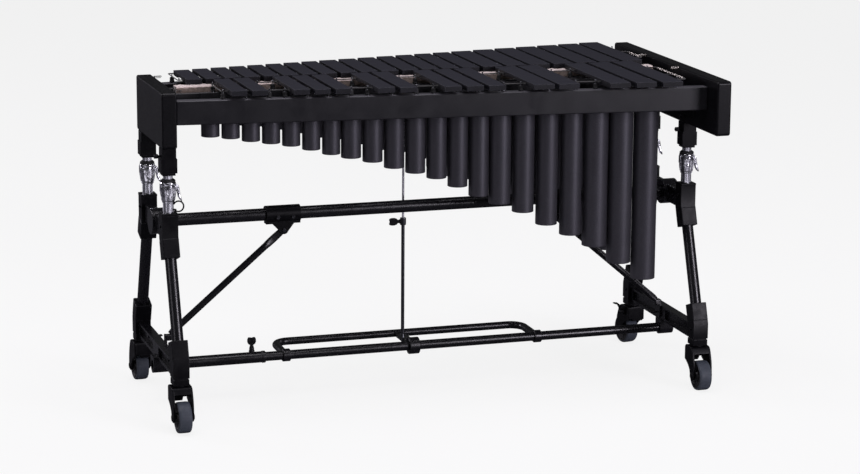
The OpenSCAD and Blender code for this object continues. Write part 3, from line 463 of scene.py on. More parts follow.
def rubber_finish():
    mat = Finish("soft_rubber", (0.0075, 0.0075, 0.008), rough=0.62, specular=0.35)
    mat.mottle(70, span=(0.4, 0.7), amount=0.5, colour=(0.016, 0.016, 0.017))
    mat.vary_rough(160, amount=0.1)
    mat.bump(mat.noise(420), distance=0.0003, strength=0.45)
    return mat.done()


def tread_finish():
    mat = Finish("tread_grey", (0.040, 0.047, 0.062), rough=0.58, specular=0.35)
    mat.mottle(24, span=(0.35, 0.7), amount=0.5, colour=(0.029, 0.034, 0.044))
    mat.mottle(170, span=(0.5, 0.75), amount=0.5, colour=(0.056, 0.064, 0.082))
    mat.vary_rough(90, amount=0.1)
    mat.bump(mat.noise(240), distance=0.0005, strength=0.4)
    return mat.done()


def cord_finish():
    """Braid: two crossing spirals, from the piece's own girth (u) and length in metres (v), darkened between the
    strands as painted shade.
    """
    strands, pitch_phase = 8, 3400.0
    colour = (0.052, 0.050, 0.050)
    mat = Finish("cord_braid", colour, rough=0.72, specular=0.25)
    run = mat.split(mat.node("ShaderNodeUVMap", uv_map="run").outputs[0])
    waves = []
    for sign in (1, -1):
        around = mat.math("MULTIPLY", run[0], strands * math.pi * sign)
        phase = mat.math("ADD", around, mat.math("MULTIPLY", run[1], pitch_phase))
        waves.append(mat.math("SINE", phase))
    height = mat.math("MULTIPLY", mat.math("MAXIMUM", *waves), 0.5)
    # painted shade: the low parts of the braid between the strands are darkened
    mat.tint(mat.remap(height, (-0.1, 0.45), to=(0.85, 0.0)), colour=(0.010, 0.010, 0.010))
    mat.mottle(500, span=(0.35, 0.7), amount=0.4, colour=scaled(colour, 1.3))
    mat.vary_rough(400, amount=0.08)
    mat.bump(height, distance=0.0006, strength=0.8)
    mat.bump(mat.noise(2600, detail=2), distance=0.00015, strength=0.4)
    return mat.done(Sheen_Weight=0.25, Sheen_Roughness=0.5)


def felt_finish():
    """Wool felt: pale top and brown sides with a wavering border, and fibres."""
    mat = Finish("wool_felt", (0.20, 0.145, 0.115), rough=0.95, specular=0.1)
    height = mat.split(mat.coords)[2]
    waver = mat.math("MULTIPLY", mat.math("SUBTRACT", mat.noise(60, detail=3), 0.5), 0.008)
    top = mat.remap(mat.math("ADD", height, waver), (0.8150, 0.8172))
    mat.tint(top, colour=(0.80, 0.66, 0.62))
    fibres = mat.noise(700, detail=6, rough=0.7, stretch=(1.0, 1.0, 2.0), warp=1.2)
    mat.tint(mat.remap(fibres, (0.35, 0.6), to=(0.45, 0)), colour=(0.085, 0.06, 0.048))
    mat.mottle(90, span=(0.4, 0.7), amount=0.3, colour=(0.52, 0.40, 0.36))
    mat.bump(fibres, distance=0.0014, strength=0.8)
    mat.bump(mat.noise(160), distance=0.0012, strength=0.5)
    return mat.done(Sheen_Weight=0.6, Sheen_Roughness=0.6)


def fibre_finish():
    mat = Finish("wool_fibre", (0.74, 0.60, 0.56), rough=0.9, specular=0.1)
    mat.tint_islands(0.7, colour=(0.42, 0.32, 0.28))
    mat.vary_rough(60, amount=0.05)
    return mat.done(Sheen_Weight=0.5)


MATS = {
    "bar": bar_finish(),
    "panel_wood": panel_finish(),
    "rail_wood": rail_finish(),
    "inner_rail": inner_rail_finish(),
    "resonator": resonator_finish(),
    "stopper": stopper_finish(),
    "frame_steel": painted("frame_powder", (0.0034, 0.0032, 0.0046), edge=(0.034, 0.033, 0.042),
                           rough=0.27, pebble_scale=620, pebble_height=0.00014),
    "bracket_steel": painted("bracket_powder", (0.0026, 0.0025, 0.0034),
                             edge=(0.040, 0.039, 0.048), rough=0.42, pebble_scale=520,
                             pebble_height=0.0002, specular=0.18),
    "moulded": moulded_finish(),
    "chrome": chrome_finish(),
    "cast_alloy": cast_finish(),
    "bolt": metal("screw_black_zinc", (0.070, 0.070, 0.078), dark=(0.030, 0.030, 0.034),
                  rough=0.34),
    "pin_steel": metal("cord_pin_steel", (0.23, 0.23, 0.25), dark=(0.10, 0.10, 0.11),
                       rough=0.28, grain=(30, 30, 0.5)),
    "dark_wire": metal("spring_wire_dark", (0.060, 0.058, 0.058), dark=(0.025, 0.024, 0.024),
                       rough=0.34),
    "post_steel": metal("rod_steel", (0.62, 0.62, 0.65), dark=(0.26, 0.26, 0.28),
                        rough=0.24, grain=(30, 30, 0.5)),
    "spring": metal("spring_wire", (0.66, 0.62, 0.58), dark=(0.30, 0.27, 0.25), rough=0.26),
    "damper_alloy": metal("damper_extrusion", (0.42, 0.41, 0.41), dark=(0.20, 0.19, 0.19),
                          rough=0.36, grain=(0.4, 20, 20)),
    "tube_satin": metal("rod_tube_satin", (0.115, 0.118, 0.128), dark=(0.045, 0.046, 0.05),
                        rough=0.36, grain=(25, 25, 0.5)),
    "rubber": rubber_finish(),
    "wheel": tread_finish(),
    "hub": painted("hub_black", (0.0075, 0.0075, 0.0085), edge=(0.04, 0.04, 0.045),
                   rough=0.42, pebble_scale=700, pebble_height=0.0002),
    "cord": cord_finish(),
    "felt": felt_finish(),
    "fibre": fibre_finish(),
}


# ------------------------------------------------------------------ outlines and paths
def pose(x, y, z, rx=0, ry=0, rz=0):
    """A place with turns in degrees, about X first, then Y, then Z."""
    matrix = Matrix.Translation((x, y, z))
    for degrees, axis in ((rz, "Z"), (ry, "Y"), (rx, "X")):
        matrix = matrix @ Matrix.Rotation(math.radians(degrees), 4, axis)
    return matrix


def angles(count):
    return [2 * math.pi * k / count for k in range(count)]


def arc(u, v, radius, degrees, radius_v=None):
    return [(u + radius * math.cos(math.radians(angle)),
             v + (radius_v or radius) * math.sin(math.radians(angle))) for angle in degrees]


def round_rect(u0, u1, v0, v1, radius, steps):
    points = []
    for u, v, start in ((u1 - radius, v0 + radius, -90), (u1 - radius, v1 - radius, 0),
                        (u0 + radius, v1 - radius, 90), (u0 + radius, v0 + radius, 180)):
        points += arc(u, v, radius, [start + 90 * k / steps for k in range(steps + 1)])
    return points


def superellipse(count, half_u, half_v, power_u, power_v):
    """An oval outline; powers below 1 make it squarer."""
    def shaped(value, power):
        return math.copysign(abs(value) ** power, value)
    return [(shaped(math.cos(angle), power_u) * half_u, shaped(math.sin(angle), power_v) * half_v)
            for angle in angles(count)]


def thread(z, top, pitch, root, crest):
    """(radius, height) points that zigzag between root and crest."""
    points = []
    while z < top:
        points.append((crest if len(points) % 2 else root, z))
        z += pitch
    return points


def fillet(profile, radius, steps):
    """Rounds the corners of an open (radius, height) profile, where there is room."""
    out = [profile[0]]
    for before, corner, after in zip(profile, profile[1:], profile[2:]):
        corner = Vector(corner)
        back, ahead = Vector(before) - corner, Vector(after) - corner
        reach = min(radius, back.length * 0.45, ahead.length * 0.45)
        if (reach < 0.05 or back.length < 1e-6 or ahead.length < 1e-6
                or abs(back.normalized().dot(ahead.normalized())) > 0.985):
            out.append(tuple(corner))
            continue
        start, end = corner + back.normalized() * reach, corner + ahead.normalized() * reach
        for step in range(steps + 1):
            t = step / steps
            out.append(tuple(start * (1 - t) ** 2 + corner * 2 * t * (1 - t) + end * t ** 2))
    out.append(profile[-1])
    return out


def quarter_arc(corner, start, end):
    """Rounds a corner: from corner - end round to corner - start."""
    centre = corner - start - end
    turns = [math.radians(90 * k / 6) for k in range(7)]
    return [centre + start * math.cos(turn) + end * math.sin(turn) for turn in turns]


def square_to(direction):
    """A unit vector at right angles to direction, as near to up as it can be."""
    up = Vector((0, 0, 1)) if abs(direction.z) < 0.9 else Vector((1, 0, 0))
    return (up - direction * up.dot(direction)).normalized()


def coil_path(start, end, radius, turns, per_turn, hook=0.0):
    """Points of a coil, with straight tails of length hook."""
    start, end = Vector(start), Vector(end)
    along = (end - start).normalized()
    normal = square_to(along)
    binormal = along.cross(normal)
    count = int(turns * per_turn)
    points = []
    if hook:
        points += [start - along * hook, start - along * hook * 0.5 + normal * radius * 0.3]
    for i in range(count + 1):
        angle = 2 * math.pi * i / per_turn
        around = normal * math.cos(angle) + binormal * math.sin(angle)
        points.append(start + (end - start) * (i / count) + around * radius)
    if hook:
        points += [end + along * hook * 0.5 + normal * radius * 0.3, end + along * hook]
    return points


def tangents(points, closed=False):
    count = len(points)
    out = []
    for i in range(count):
        before = points[(i - 1) % count] if closed or i else points[i]
        after = points[(i + 1) % count] if closed or i < count - 1 else points[i]
        out.append((after - before).normalized())
    return out


def frames_along(points, closed):
    """Normal and binormal at each point, without twist."""
    directions = tangents(points, closed)
    normal = square_to(directions[0])
    out = []
    for direction in directions:
        normal = (normal - direction * normal.dot(direction)).normalized()
        out.append((normal, direction.cross(normal)))
    return out


def rounded_tip(tip, neighbour, radius, reach):
    """Ring centres and radii from the end of a rounded tip back to the tube."""
    outward = (tip - neighbour).normalized()
    turns = [math.radians(90 * (k + 0.35) / 4) for k in range(4)]
    return ([tip + outward * reach * math.cos(turn) * radius for turn in turns],
            [radius * math.sin(turn) for turn in turns])


def strip_faces(rings, segs, closed=False):
    """Quads between neighbouring rings of segs vertices."""
    return [[i * segs + k, i * segs + (k + 1) % segs, (i + 1) % rings * segs + (k + 1) % segs,
             (i + 1) % rings * segs + k]
            for i in range(rings if closed else rings - 1) for k in range(segs)]


# ------------------------------------------------------------------ solids
def new_bmesh(verts, faces):
    bm = bmesh.new()
    made = [bm.verts.new(point) for point in verts]
    for face in faces:
        bm.faces.new([made[i] for i in face])
    return bm


def fix_normals(bm):
    bmesh.ops.recalc_face_normals(bm, faces=bm.faces)


def bevelled(bm, width, segs=3, angle=28):
    """Rounds every edge sharper than angle, in place."""
    fix_normals(bm)
    sharp = [edge for edge in bm.edges
             if len(edge.link_faces) == 2 and edge.calc_face_angle(0) > math.radians(angle)]
    bmesh.ops.bevel(bm, geom=sharp, offset=width, offset_type="OFFSET", segments=segs,
                    profile=0.5, affect="EDGES", clamp_overlap=True)
    bmesh.ops.remove_doubles(bm, verts=bm.verts, dist=0.0005)
    fix_normals(bm)
    return bm


def flat_faces(piece):
    """Large faces keep their own direction, so that only the rounded edges shade round."""
    modifier = piece.modifiers.new("flat", "WEIGHTED_NORMAL")
    modifier.mode, modifier.weight, modifier.keep_sharp = "FACE_AREA", 50, True


def drill(piece, cutter, sharp):
    """Takes the cutter's solids out of a piece."""
    mesh = cutter.mesh("cut")
    tool = bpy.data.objects.new("cut", mesh)
    bpy.context.scene.collection.objects.link(tool)
    bm = bmesh.new()
    bm.from_mesh(mesh)
    fix_normals(bm)
    bm.to_mesh(mesh)
    bm.free()
    modifier = piece.modifiers.new("drill", "BOOLEAN")
    modifier.operation, modifier.object, modifier.solver = "DIFFERENCE", tool, "EXACT"
    bpy.context.view_layer.update()
    graph = bpy.context.evaluated_depsgraph_get()
    drilled = bpy.data.meshes.new_from_object(piece.evaluated_get(graph))
    piece.modifiers.clear()
    # a cut that fails adds no faces, and the piece then stays whole
    if len(drilled.polygons) > len(piece.data.polygons):
        piece.data = drilled
        drilled.polygons.foreach_set("use_smooth", [True] * len(drilled.polygons))
        drilled.set_sharp_from_angle(angle=math.radians(sharp))
    flat_faces(piece)
    bpy.data.objects.remove(tool)


class Part:
    """Collects solids in millimetres into one mesh. finish is a face's material index."""

    def __init__(self):
        self.verts, self.faces, self.finishes, self.uvs = [], [], [], []

    def add(self, verts, faces, finish=0, uvs=None):
        first = len(self.verts)
        self.verts += [tuple(point) for point in verts]
        self.faces += [[first + i for i in face] for face in faces]
        self.finishes += [finish] * len(faces)
        self.uvs += uvs or [None] * len(faces)

    def merge(self, bm, finish=0):
        bm.verts.index_update()
        self.add([vert.co[:] for vert in bm.verts],
                 [[vert.index for vert in face.verts] for face in bm.faces], finish)
        bm.free()

    def prism(self, outline, axis, start, end, width, segs=3, place=None, finish=0, angle=28):
        """A flat outline extruded along an axis, with edges rounded to width."""
        bm = bmesh.new()

        def layer(h):
            return [bm.verts.new({"x": (h, u, v), "y": (u, h, v), "z": (u, v, h)}[axis])
                    for u, v in outline]

        low, high = layer(start), layer(end)
        bm.faces.new(low[::-1])
        bm.faces.new(high)
        count = len(outline)
        for i in range(count):
            j = (i + 1) % count
            bm.faces.new((low[i], low[j], high[j], high[i]))
        bevelled(bm, width, segs, angle)
        if place is not None:
            bmesh.ops.transform(bm, matrix=place, verts=bm.verts)
        self.merge(bm, finish)

    def block(self, x0, x1, y0, y1, z0, z1, width, segs=3):
        self.prism([(x0, y0), (x1, y0), (x1, y1), (x0, y1)], "z", z0, z1, width, segs)

    def sweep(self, points, radius, segs, finish=0, closed=False, uv=False, ends=0.0):
        """A round tube; radius is a number or one for each point. ends rounds both tips."""
        points = [Vector(point) for point in points]
        radii = list(radius) if isinstance(radius, list) else [radius] * len(points)
        if ends:
            head, head_radii = rounded_tip(points[0], points[1], radii[0], ends)
            tail, tail_radii = rounded_tip(points[-1], points[-2], radii[-1], ends)
            points = head + points + tail[::-1]
            radii = head_radii + radii + tail_radii[::-1]
        count = len(points)
        verts = [point + (normal * math.cos(angle) + binormal * math.sin(angle)) * r
                 for point, r, (normal, binormal) in zip(points, radii,
                                                         frames_along(points, closed))
                 for angle in angles(segs)]
        run = [0.0]
        for i in range(1, count + closed):
            run.append(run[-1] + (points[i % count] - points[i - 1]).length)
        faces = strip_faces(count, segs, closed)
        uvs = [[(k / segs, near * MM), ((k + 1) / segs, near * MM),
                ((k + 1) / segs, far * MM), (k / segs, far * MM)]
               for near, far in zip(run, run[1:]) for k in range(segs)]
        if not closed:
            faces += [list(range(segs))[::-1], [(count - 1) * segs + k for k in range(segs)]]
            uvs += [[(0, 0)] * segs] * 2
        self.add(verts, faces, finish, uvs if uv else None)

    def loft(self, rings, flip_caps=True):
        """Skins equal rings and caps the ends. flip_caps swaps the caps' vertex order."""
        count, segs = len(rings), len(rings[0])
        first, last = list(range(segs)), [(count - 1) * segs + k for k in range(segs)]
        caps = [first, last[::-1]] if flip_caps else [first[::-1], last]
        bm = new_bmesh([point for ring in rings for point in ring],
                       strip_faces(count, segs) + caps)
        fix_normals(bm)
        self.merge(bm)

    def blade(self, stations, segs, powers, turn, place):
        """A bent strip. stations are (along, height, half width, half thickness).

        powers square the section, turn (1 or -1) picks the face its outline starts to,
        and place puts an (along, across, height) point in the world.
        """
        directions = tangents([Vector((station[0], 0, station[1])) for station in stations])
        rings = []
        for (along, height, half, thick), direction in zip(stations, directions):
            normal = Vector((-direction.z, 0, direction.x)).normalized() * turn
            rings.append([place(along + normal.x * v, u, height + normal.z * v)
                          for u, v in superellipse(segs, half, thick, *powers)])
        self.loft(rings)

    def lathe(self, profile, segs, place, finish=0, closed=False):
        """Turns (radius, height) points about Z. closed joins the last point to the first."""
        verts, rows = [], []
        for radius, z in profile:
            first = len(verts)
            if radius < 1e-6 and not closed:
                rows.append([first] * segs)
                verts.append(Vector((0, 0, z)))
            else:
                rows.append(list(range(first, first + segs)))
                verts += [Vector((radius * math.cos(angle), radius * math.sin(angle), z))
                          for angle in angles(segs)]
        faces = []
        for i in range(len(rows) if closed else len(rows) - 1):
            near, far = rows[i], rows[(i + 1) % len(rows)]
            for k in range(segs):
                after = (k + 1) % segs
                face = list(dict.fromkeys([near[k], near[after], far[after], far[k]]))
                if len(face) > 2:
                    faces.append(face)
        self.add([place @ vert for vert in verts], faces, finish)

    def turn(self, profile, radius, steps, segs, place, finish=0, ring=False):
        """A lathe with filleted corners. ring closes the profile into a hollow ring."""
        if ring:
            profile = fillet(profile + [profile[0]], radius, steps)[:-1]
        else:
            profile = fillet(profile, radius, steps)
        self.lathe(profile, segs, place, finish, closed=ring)

    def mesh(self, name):
        mesh = bpy.data.meshes.new(name)
        mesh.from_pydata([(x * MM, y * MM, z * MM) for x, y, z in self.verts], [], self.faces)
        return mesh

    def piece(self, name, finishes, body, replaces=None, slot=None, sharp=38, cutter=None):
        """Makes the object. Its slot is its first finish, unless another is given."""
        finishes = [finishes] if isinstance(finishes, str) else finishes
        mesh = self.mesh(name)
        for finish in finishes:
            mesh.materials.append(MATS[finish])
        mesh.polygons.foreach_set("material_index", self.finishes)
        if any(uv is not None for uv in self.uvs):
            layer = mesh.uv_layers.new(name="run")
            for polygon in mesh.polygons:
                for loop, uv in zip(polygon.loop_indices, self.uvs[polygon.index] or ()):
                    layer.data[loop].uv = uv
        mesh.polygons.foreach_set("use_smooth", [True] * len(mesh.polygons))
        mesh.validate()
        mesh.update()
        mesh.set_sharp_from_angle(angle=math.radians(sharp))
        piece = bpy.data.objects.new(name, mesh)
        bpy.context.scene.collection.objects.link(piece)
        if cutter is None:
            flat_faces(piece)
        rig.ride(piece, body)
        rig.slot(piece, slot or finishes[0])
        if replaces:
            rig.replaces(piece, replaces)
        if cutter is not None:
            drill(piece, cutter, sharp)
        return piece


# ------------------------------------------------------------------ CAD nodes
def limits(bm):
    return [Vector([pick(vert.co[axis] for vert in bm.verts) for axis in range(3)])
            for pick in (min, max)]


def islands(node):
    """Each solid of a CAD node as a bmesh in millimetres, sorted from -X to +X."""
    bm = bmesh.new()
    bm.from_mesh(NODES[node].data)
    for vert in bm.verts:
        vert.co *= 1000.0
    bmesh.ops.remove_doubles(bm, verts=bm.verts, dist=0.002)
    bm.verts.ensure_lookup_table()
    seen, groups = set(), []
    for vert in bm.verts:
        if vert.index in seen:
            continue
        stack, group = [vert], []
        seen.add(vert.index)
        while stack:
            current = stack.pop()
            group.append(current)
            for edge in current.link_edges:
                other = edge.other_vert(current)
                if other.index not in seen:
                    seen.add(other.index)
                    stack.append(other)
        groups.append(group)
    solids = []
    for group in groups:
        solid = bmesh.new()
        made = {vert.index: solid.verts.new(vert.co) for vert in group}
        done = set()
        for vert in group:
            for face in vert.link_faces:
                if face.index not in done:
                    done.add(face.index)
                    try:
                        solid.faces.new([made[corner.index] for corner in face.verts])
                    except ValueError:
                        pass  # a second face on the same vertices is left out
        solids.append(solid)
    bm.free()
    solids.sort(key=lambda solid: (round(limits(solid)[0].x, 1), limits(solid)[0].y))
    return solids


def boxes(node):
    return [limits(solid) for solid in islands(node)]


def uprights(node):
    """(x, y, radius, bottom, top) of each upright round solid of a CAD node."""
    return [((lo.x + hi.x) / 2, (lo.y + hi.y) / 2, (hi.x - lo.x) / 2, lo.z, hi.z)
            for lo, hi in boxes(node)]


def node_box(node):
    return [corner * 1000 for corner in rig.box(node)]


def merge_flat(bm):
    bmesh.ops.dissolve_limit(bm, angle_limit=math.radians(1.0), verts=bm.verts, edges=bm.edges,
                             delimit=set())


def same_size(trial, solid):
    (low, high), (old_low, old_high) = limits(trial), limits(solid)
    ratio = abs(trial.calc_volume(signed=True)) / abs(solid.calc_volume(signed=True))
    return (abs(ratio - 1) < 0.06 and (low - old_low).length < 0.3
            and (high - old_high).length < 0.3)


def rounded(solid, width, segs, check_size):
    """A copy with rounded edges, or None where it doesn't come out sound."""
    trial = solid.copy()
    merge_flat(trial)
    # guards against solids too thin or too broken to bevel or measure
    try:
        bevelled(trial, width, segs, 40)
        sound = (all(len(edge.link_faces) == 2 for edge in trial.edges)
                 and (not check_size or same_size(trial, solid)))
    except Exception:
        sound = False
    return trial if sound else None


def refine(node, width, segs, extra=None):
    """Rebuilds a CAD node with rounded edges. A solid that won't round keeps its shape."""
    part = Part()
    for solid in islands(node):
        fix_normals(solid)
        for share in (1, 0.6, 0.35):
            best = rounded(solid, width * share, segs, check_size=True)
            if best is not None:
                break
        part.merge(solid if best is None else best)
    if extra:
        extra(part)
    part.piece(node + "_skin", SLOTS[node], BODY[node], node)


def screw_heads(node):
    """Rounds the edges of each small screw head."""
    part = Part()
    for solid in islands(node):
        best = rounded(solid, 0.45, 3, check_size=False)
        part.merge(solid if best is None else best)
    part.piece(node + "_heads", "bolt", BODY[node], node)


def keep(node):
    """Carries a CAD node over with its own finish."""
    cad = NODES[node]
    cad.data.materials.clear()
    cad.data.materials.append(MATS[SLOTS[node]])
    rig.slot(cad, SLOTS[node])


# ------------------------------------------------------------------ panels and rails
def end_panel(node):
    low, high = node_box(node)
    part = Part()
    part.prism(round_rect(low.y, high.y, low.z, high.z, 8.0, 5), "x", low.x, high.x, 4.2, 5)
    part.piece(node + "_board", "panel_wood", "keyboard", node, sharp=50)


def rail(node, width):
    part = Part()
    for solid in islands(node):
        merge_flat(solid)
        part.merge(bevelled(solid, width, 4))
    part.piece(node + "_beam", SLOTS[node], "keyboard", node, sharp=50)


end_panel("high_end_panel")
end_panel("low_end_panel")
rail("front_rail", 2.6)
rail("back_rail", 2.6)
rail("inner_rails", 1.6)


# ------------------------------------------------------------------ bars
BAR_BOXES = {row: boxes(row + "_bars") for row in ("natural", "accidental")}
CORD_Z = BAR_BOXES["natural"][0][1].z - 6.5
CORD_POSTS = uprights("cord_posts")
HOLE_RADIUS = 3.0


def cord_run(y):
    """The row and side of the cord that passes at y."""
    return ("natural" if y > 12 else "accidental", "outer" if abs(y) > 88 else "inner")


def cord_line(run):
    """First and last x of one run of posts, y as a straight line of x, and its angle."""
    points = [(x, y) for x, y, *_ in CORD_POSTS if cord_run(y) == run]
    count = len(points)
    mean_x, mean_y = sum(x for x, _ in points) / count, sum(y for _, y in points) / count
    slope = (sum((x - mean_x) * (y - mean_y) for x, y in points)
             / sum((x - mean_x) ** 2 for x, _ in points))
    return (min(points)[0], max(points)[0], lambda x: mean_y + slope * (x - mean_x),
            math.degrees(math.atan(slope)))


LINES = {(row, side): cord_line((row, side)) for row in BAR_BOXES for side in ("outer", "inner")}


def bars(row):
    """Bars with a shallow arch cut underneath and two cord holes."""
    arch_depth, steps = 5.0, 14
    part, cutter = Part(), Part()
    for low, high in BAR_BOXES[row]:
        middle, half = (low.y + high.y) / 2, (high.y - low.y) * 0.22
        outline = [(low.y, low.z)]
        for k in range(steps + 1):
            t = -1 + 2 * k / steps
            outline.append((middle + half * t, low.z + arch_depth * (1 - t * t)))
        outline += [(high.y, low.z), (high.y, high.z), (low.y, high.z)]
        part.prism(outline, "x", low.x, high.x, 0.8, angle=26)
        end = high.x - low.x + 3
        for side in ("outer", "inner"):
            _, _, line, angle = LINES[row, side]
            cutter.lathe([(0, -1), (HOLE_RADIUS, -1), (HOLE_RADIUS, end), (0, end)], 20,
                         pose(low.x - 1, line(low.x), CORD_Z, rz=angle, ry=90))
    node = row + "_bars"
    part.piece(node + "_row", "bar", "keyboard", node, sharp=32, cutter=cutter)


bars("natural")
bars("accidental")


# ------------------------------------------------------------------ cord posts, cords, springs
RAIL_TOP = node_box("front_rail")[1].z
FORK_RADIUS = 2.45
CORD_BEND = 4.0


def sleeve_profile(radius, bottom, top, large):
    if large:
        outside = [(radius, bottom + 3), (radius - 0.8, bottom + 4), (radius - 0.8, top - 2.5),
                   (radius - 1.6, top)]
    else:
        outside = [(radius - 0.2, bottom + 2), (radius - 1.0, bottom + 3.2),
                   (radius - 1.1, top - 2.4), (radius - 0.5, top - 1.2), (radius - 1.2, top)]
    return [(2.4, bottom), (radius, bottom)] + outside + [(2.4, top)]


def posts():
    pins, sleeves = Part(), Part()
    large_sleeves = []
    for x, y, radius, bottom, top in uprights("post_sleeves"):
        large = radius > 5.5
        profile = sleeve_profile(radius, bottom, top, large)
        sleeves.lathe(fillet(profile, 0.7, 3), 24, pose(x, y, 0), closed=True)
        if large:
            large_sleeves.append((x, y))
    # washer, shank and shoulder
    shank = [(0, RAIL_TOP), (4.2, RAIL_TOP), (4.2, RAIL_TOP + 1.2), (2.3, RAIL_TOP + 1.4),
             (2.3, 822.4), (2.5, 823.2), (1.5, 824.0), (0, 824.0)]
    for x, y, *_ in CORD_POSTS:
        slant = math.radians(LINES[cord_run(y)][3])
        across = Vector((-math.sin(slant), math.cos(slant), 0))
        large = any(abs(x - sx) < 1 and abs(y - sy) < 1 for sx, sy in large_sleeves)
        pins.turn(shank, 0.4, 2, 20, pose(x, y, 0))
        # forked head round the cord
        centre = Vector((x, y, CORD_Z))
        cradle = [centre + across * u + Vector((0, 0, v))
                  for u, v in arc(0, 0, FORK_RADIUS, [180 + 180 * k / 8 for k in range(9)])]
        rise = Vector((0, 0, 3.9 if large else 3.4))
        pins.sweep([cradle[0] + rise] + cradle + [cradle[-1] + rise], 0.8, 8, ends=1.0)
        if large:
            for side in (-1, 1):
                tip = centre + Vector((0, 0, 3.6)) + across * FORK_RADIUS * side
                pins.turn([(0, -0.6), (1.5, -0.6), (1.6, 0.6), (1.1, 1.5), (0, 1.6)], 0.3, 2, 12,
                          pose(*tip))
    pins.piece("cord_post_pins", "pin_steel", "keyboard", "cord_posts", slot="post_steel")
    sleeves.piece("post_sleeve_rubber", "rubber", "keyboard", "post_sleeves")


posts()


def row_cord(cord, springs, row, sign, overhang):
    """One row's cord loop, closed by a coil spring across its low end."""
    first, last, outer, _ = LINES[row, "outer"]
    inner = LINES[row, "inner"][2]
    high, low = first - 4.0, last + overhang
    along, across = Vector((1, 0, 0)), Vector((0, sign, 0))

    def at_line(x, line):
        return Vector((x, line(x), CORD_Z))

    def straight(line, start, end):
        """A run with a slight waver in height."""
        xs = [start + (end - start) * k / 150 for k in range(151)]
        return [(x, line(x), CORD_Z + 0.12 * math.sin(x * 0.31)) for x in xs]

    out, east = across * CORD_BEND, along * CORD_BEND
    spring_outer = at_line(low, outer) - across * 20
    spring_inner = at_line(low, inner) + across * 20
    low_x, high_x = low - CORD_BEND - 6, high + CORD_BEND + 2
    path = [spring_outer + across * 3, spring_outer + across * 9]
    path += quarter_arc(at_line(low, outer), east, out)
    path += straight(outer, low_x, high_x)
    path += quarter_arc(at_line(high, outer), out, -east)
    path += quarter_arc(at_line(high, inner), -east, -out)
    path += straight(inner, high_x, low_x)
    path += quarter_arc(at_line(low, inner), -out, east)
    path += [spring_inner - across * 9, spring_inner - across * 3]
    cord.sweep(path, 1.45, 10, uv=True, ends=0.6)
    # knots beside the spring
    for end, toward in ((spring_outer, sign), (spring_inner, -sign)):
        centre = end + Vector((0, toward * 5, 0))
        cord.sweep([centre + Vector((1.9 * math.cos(angle), toward * 1.2 * math.sin(angle * 0.5),
                                     1.9 * math.sin(angle))) for angle in angles(10)],
                   1.0, 8, closed=True, uv=True)
    turns = abs(spring_outer.y - spring_inner.y) / 3.1
    springs.sweep(coil_path(spring_outer, spring_inner, 2.3, turns, 12, hook=3.0), 0.55, 6)


def cords():
    cord, springs = Part(), Part()
    row_cord(cord, springs, "natural", 1, overhang=16.0)
    row_cord(cord, springs, "accidental", -1, overhang=23.0)
    cord.piece("bar_cord_braid", "cord", "keyboard", "bar_cords")
    for low, high in boxes("cord_springs"):
        y, z = (low.y + high.y) / 2, (low.z + high.z) / 2
        finish = 1 if low.x < 0 else 0
        springs.sweep(coil_path((low.x + 1.5, y, z), (high.x - 1.5, y, z), 3.0, 6, 16, hook=2.5),
                      0.6, 7, finish, ends=0.8)
        # eye and its round base at the outer end
        x = low.x if low.x < 0 else high.x
        inward = 1 if x < 0 else -1
        springs.sweep([(x, y + 2.4 * math.cos(angle), z + 2.4 * math.sin(angle))
                       for angle in angles(14)], 0.7, 7, finish, closed=True)
        springs.turn([(0, 0), (3.6, 0), (3.6, 1.0), (1.2, 1.3), (1.2, 3.0), (0, 3.0)], 0.4, 2, 16,
                     pose(x - inward * 0.9, y - 2.4, z, ry=90 * inward), finish)
    springs.piece("cord_spring_wire", ["spring", "dark_wire"], "keyboard", "cord_springs")


cords()


# ------------------------------------------------------------------ damper
FELT_LOW, FELT_HIGH = node_box("damper_felt")
FELT_Y = (FELT_LOW.y + FELT_HIGH.y) / 2
FELT_HALF = (FELT_HIGH.y - FELT_LOW.y) / 2
FELT_HEIGHT = FELT_HIGH.z - FELT_LOW.z


def felt_section():
    """(across, height) outline: straight sides, rounded shoulders and a flat top."""
    wall_steps, top_steps, shoulder, top_gap = 5, 8, 3.5, 0.6
    wall = FELT_HEIGHT * 0.78
    rise = FELT_HEIGHT * 0.22 - top_gap
    left = [(-FELT_HALF, FELT_HEIGHT * k / wall_steps * 0.78) for k in range(wall_steps + 1)]
    for k in range(1, 4):
        angle = math.radians(90 * k / 4)
        left.append((-FELT_HALF + shoulder * (1 - math.cos(angle)),
                     wall + rise * math.sin(angle)))
    top = [(-FELT_HALF + shoulder + 2 * (FELT_HALF - shoulder) * k / top_steps,
            FELT_HEIGHT - top_gap) for k in range(top_steps + 1)]
    return left + top + [(-u, z) for u, z in reversed(left)]


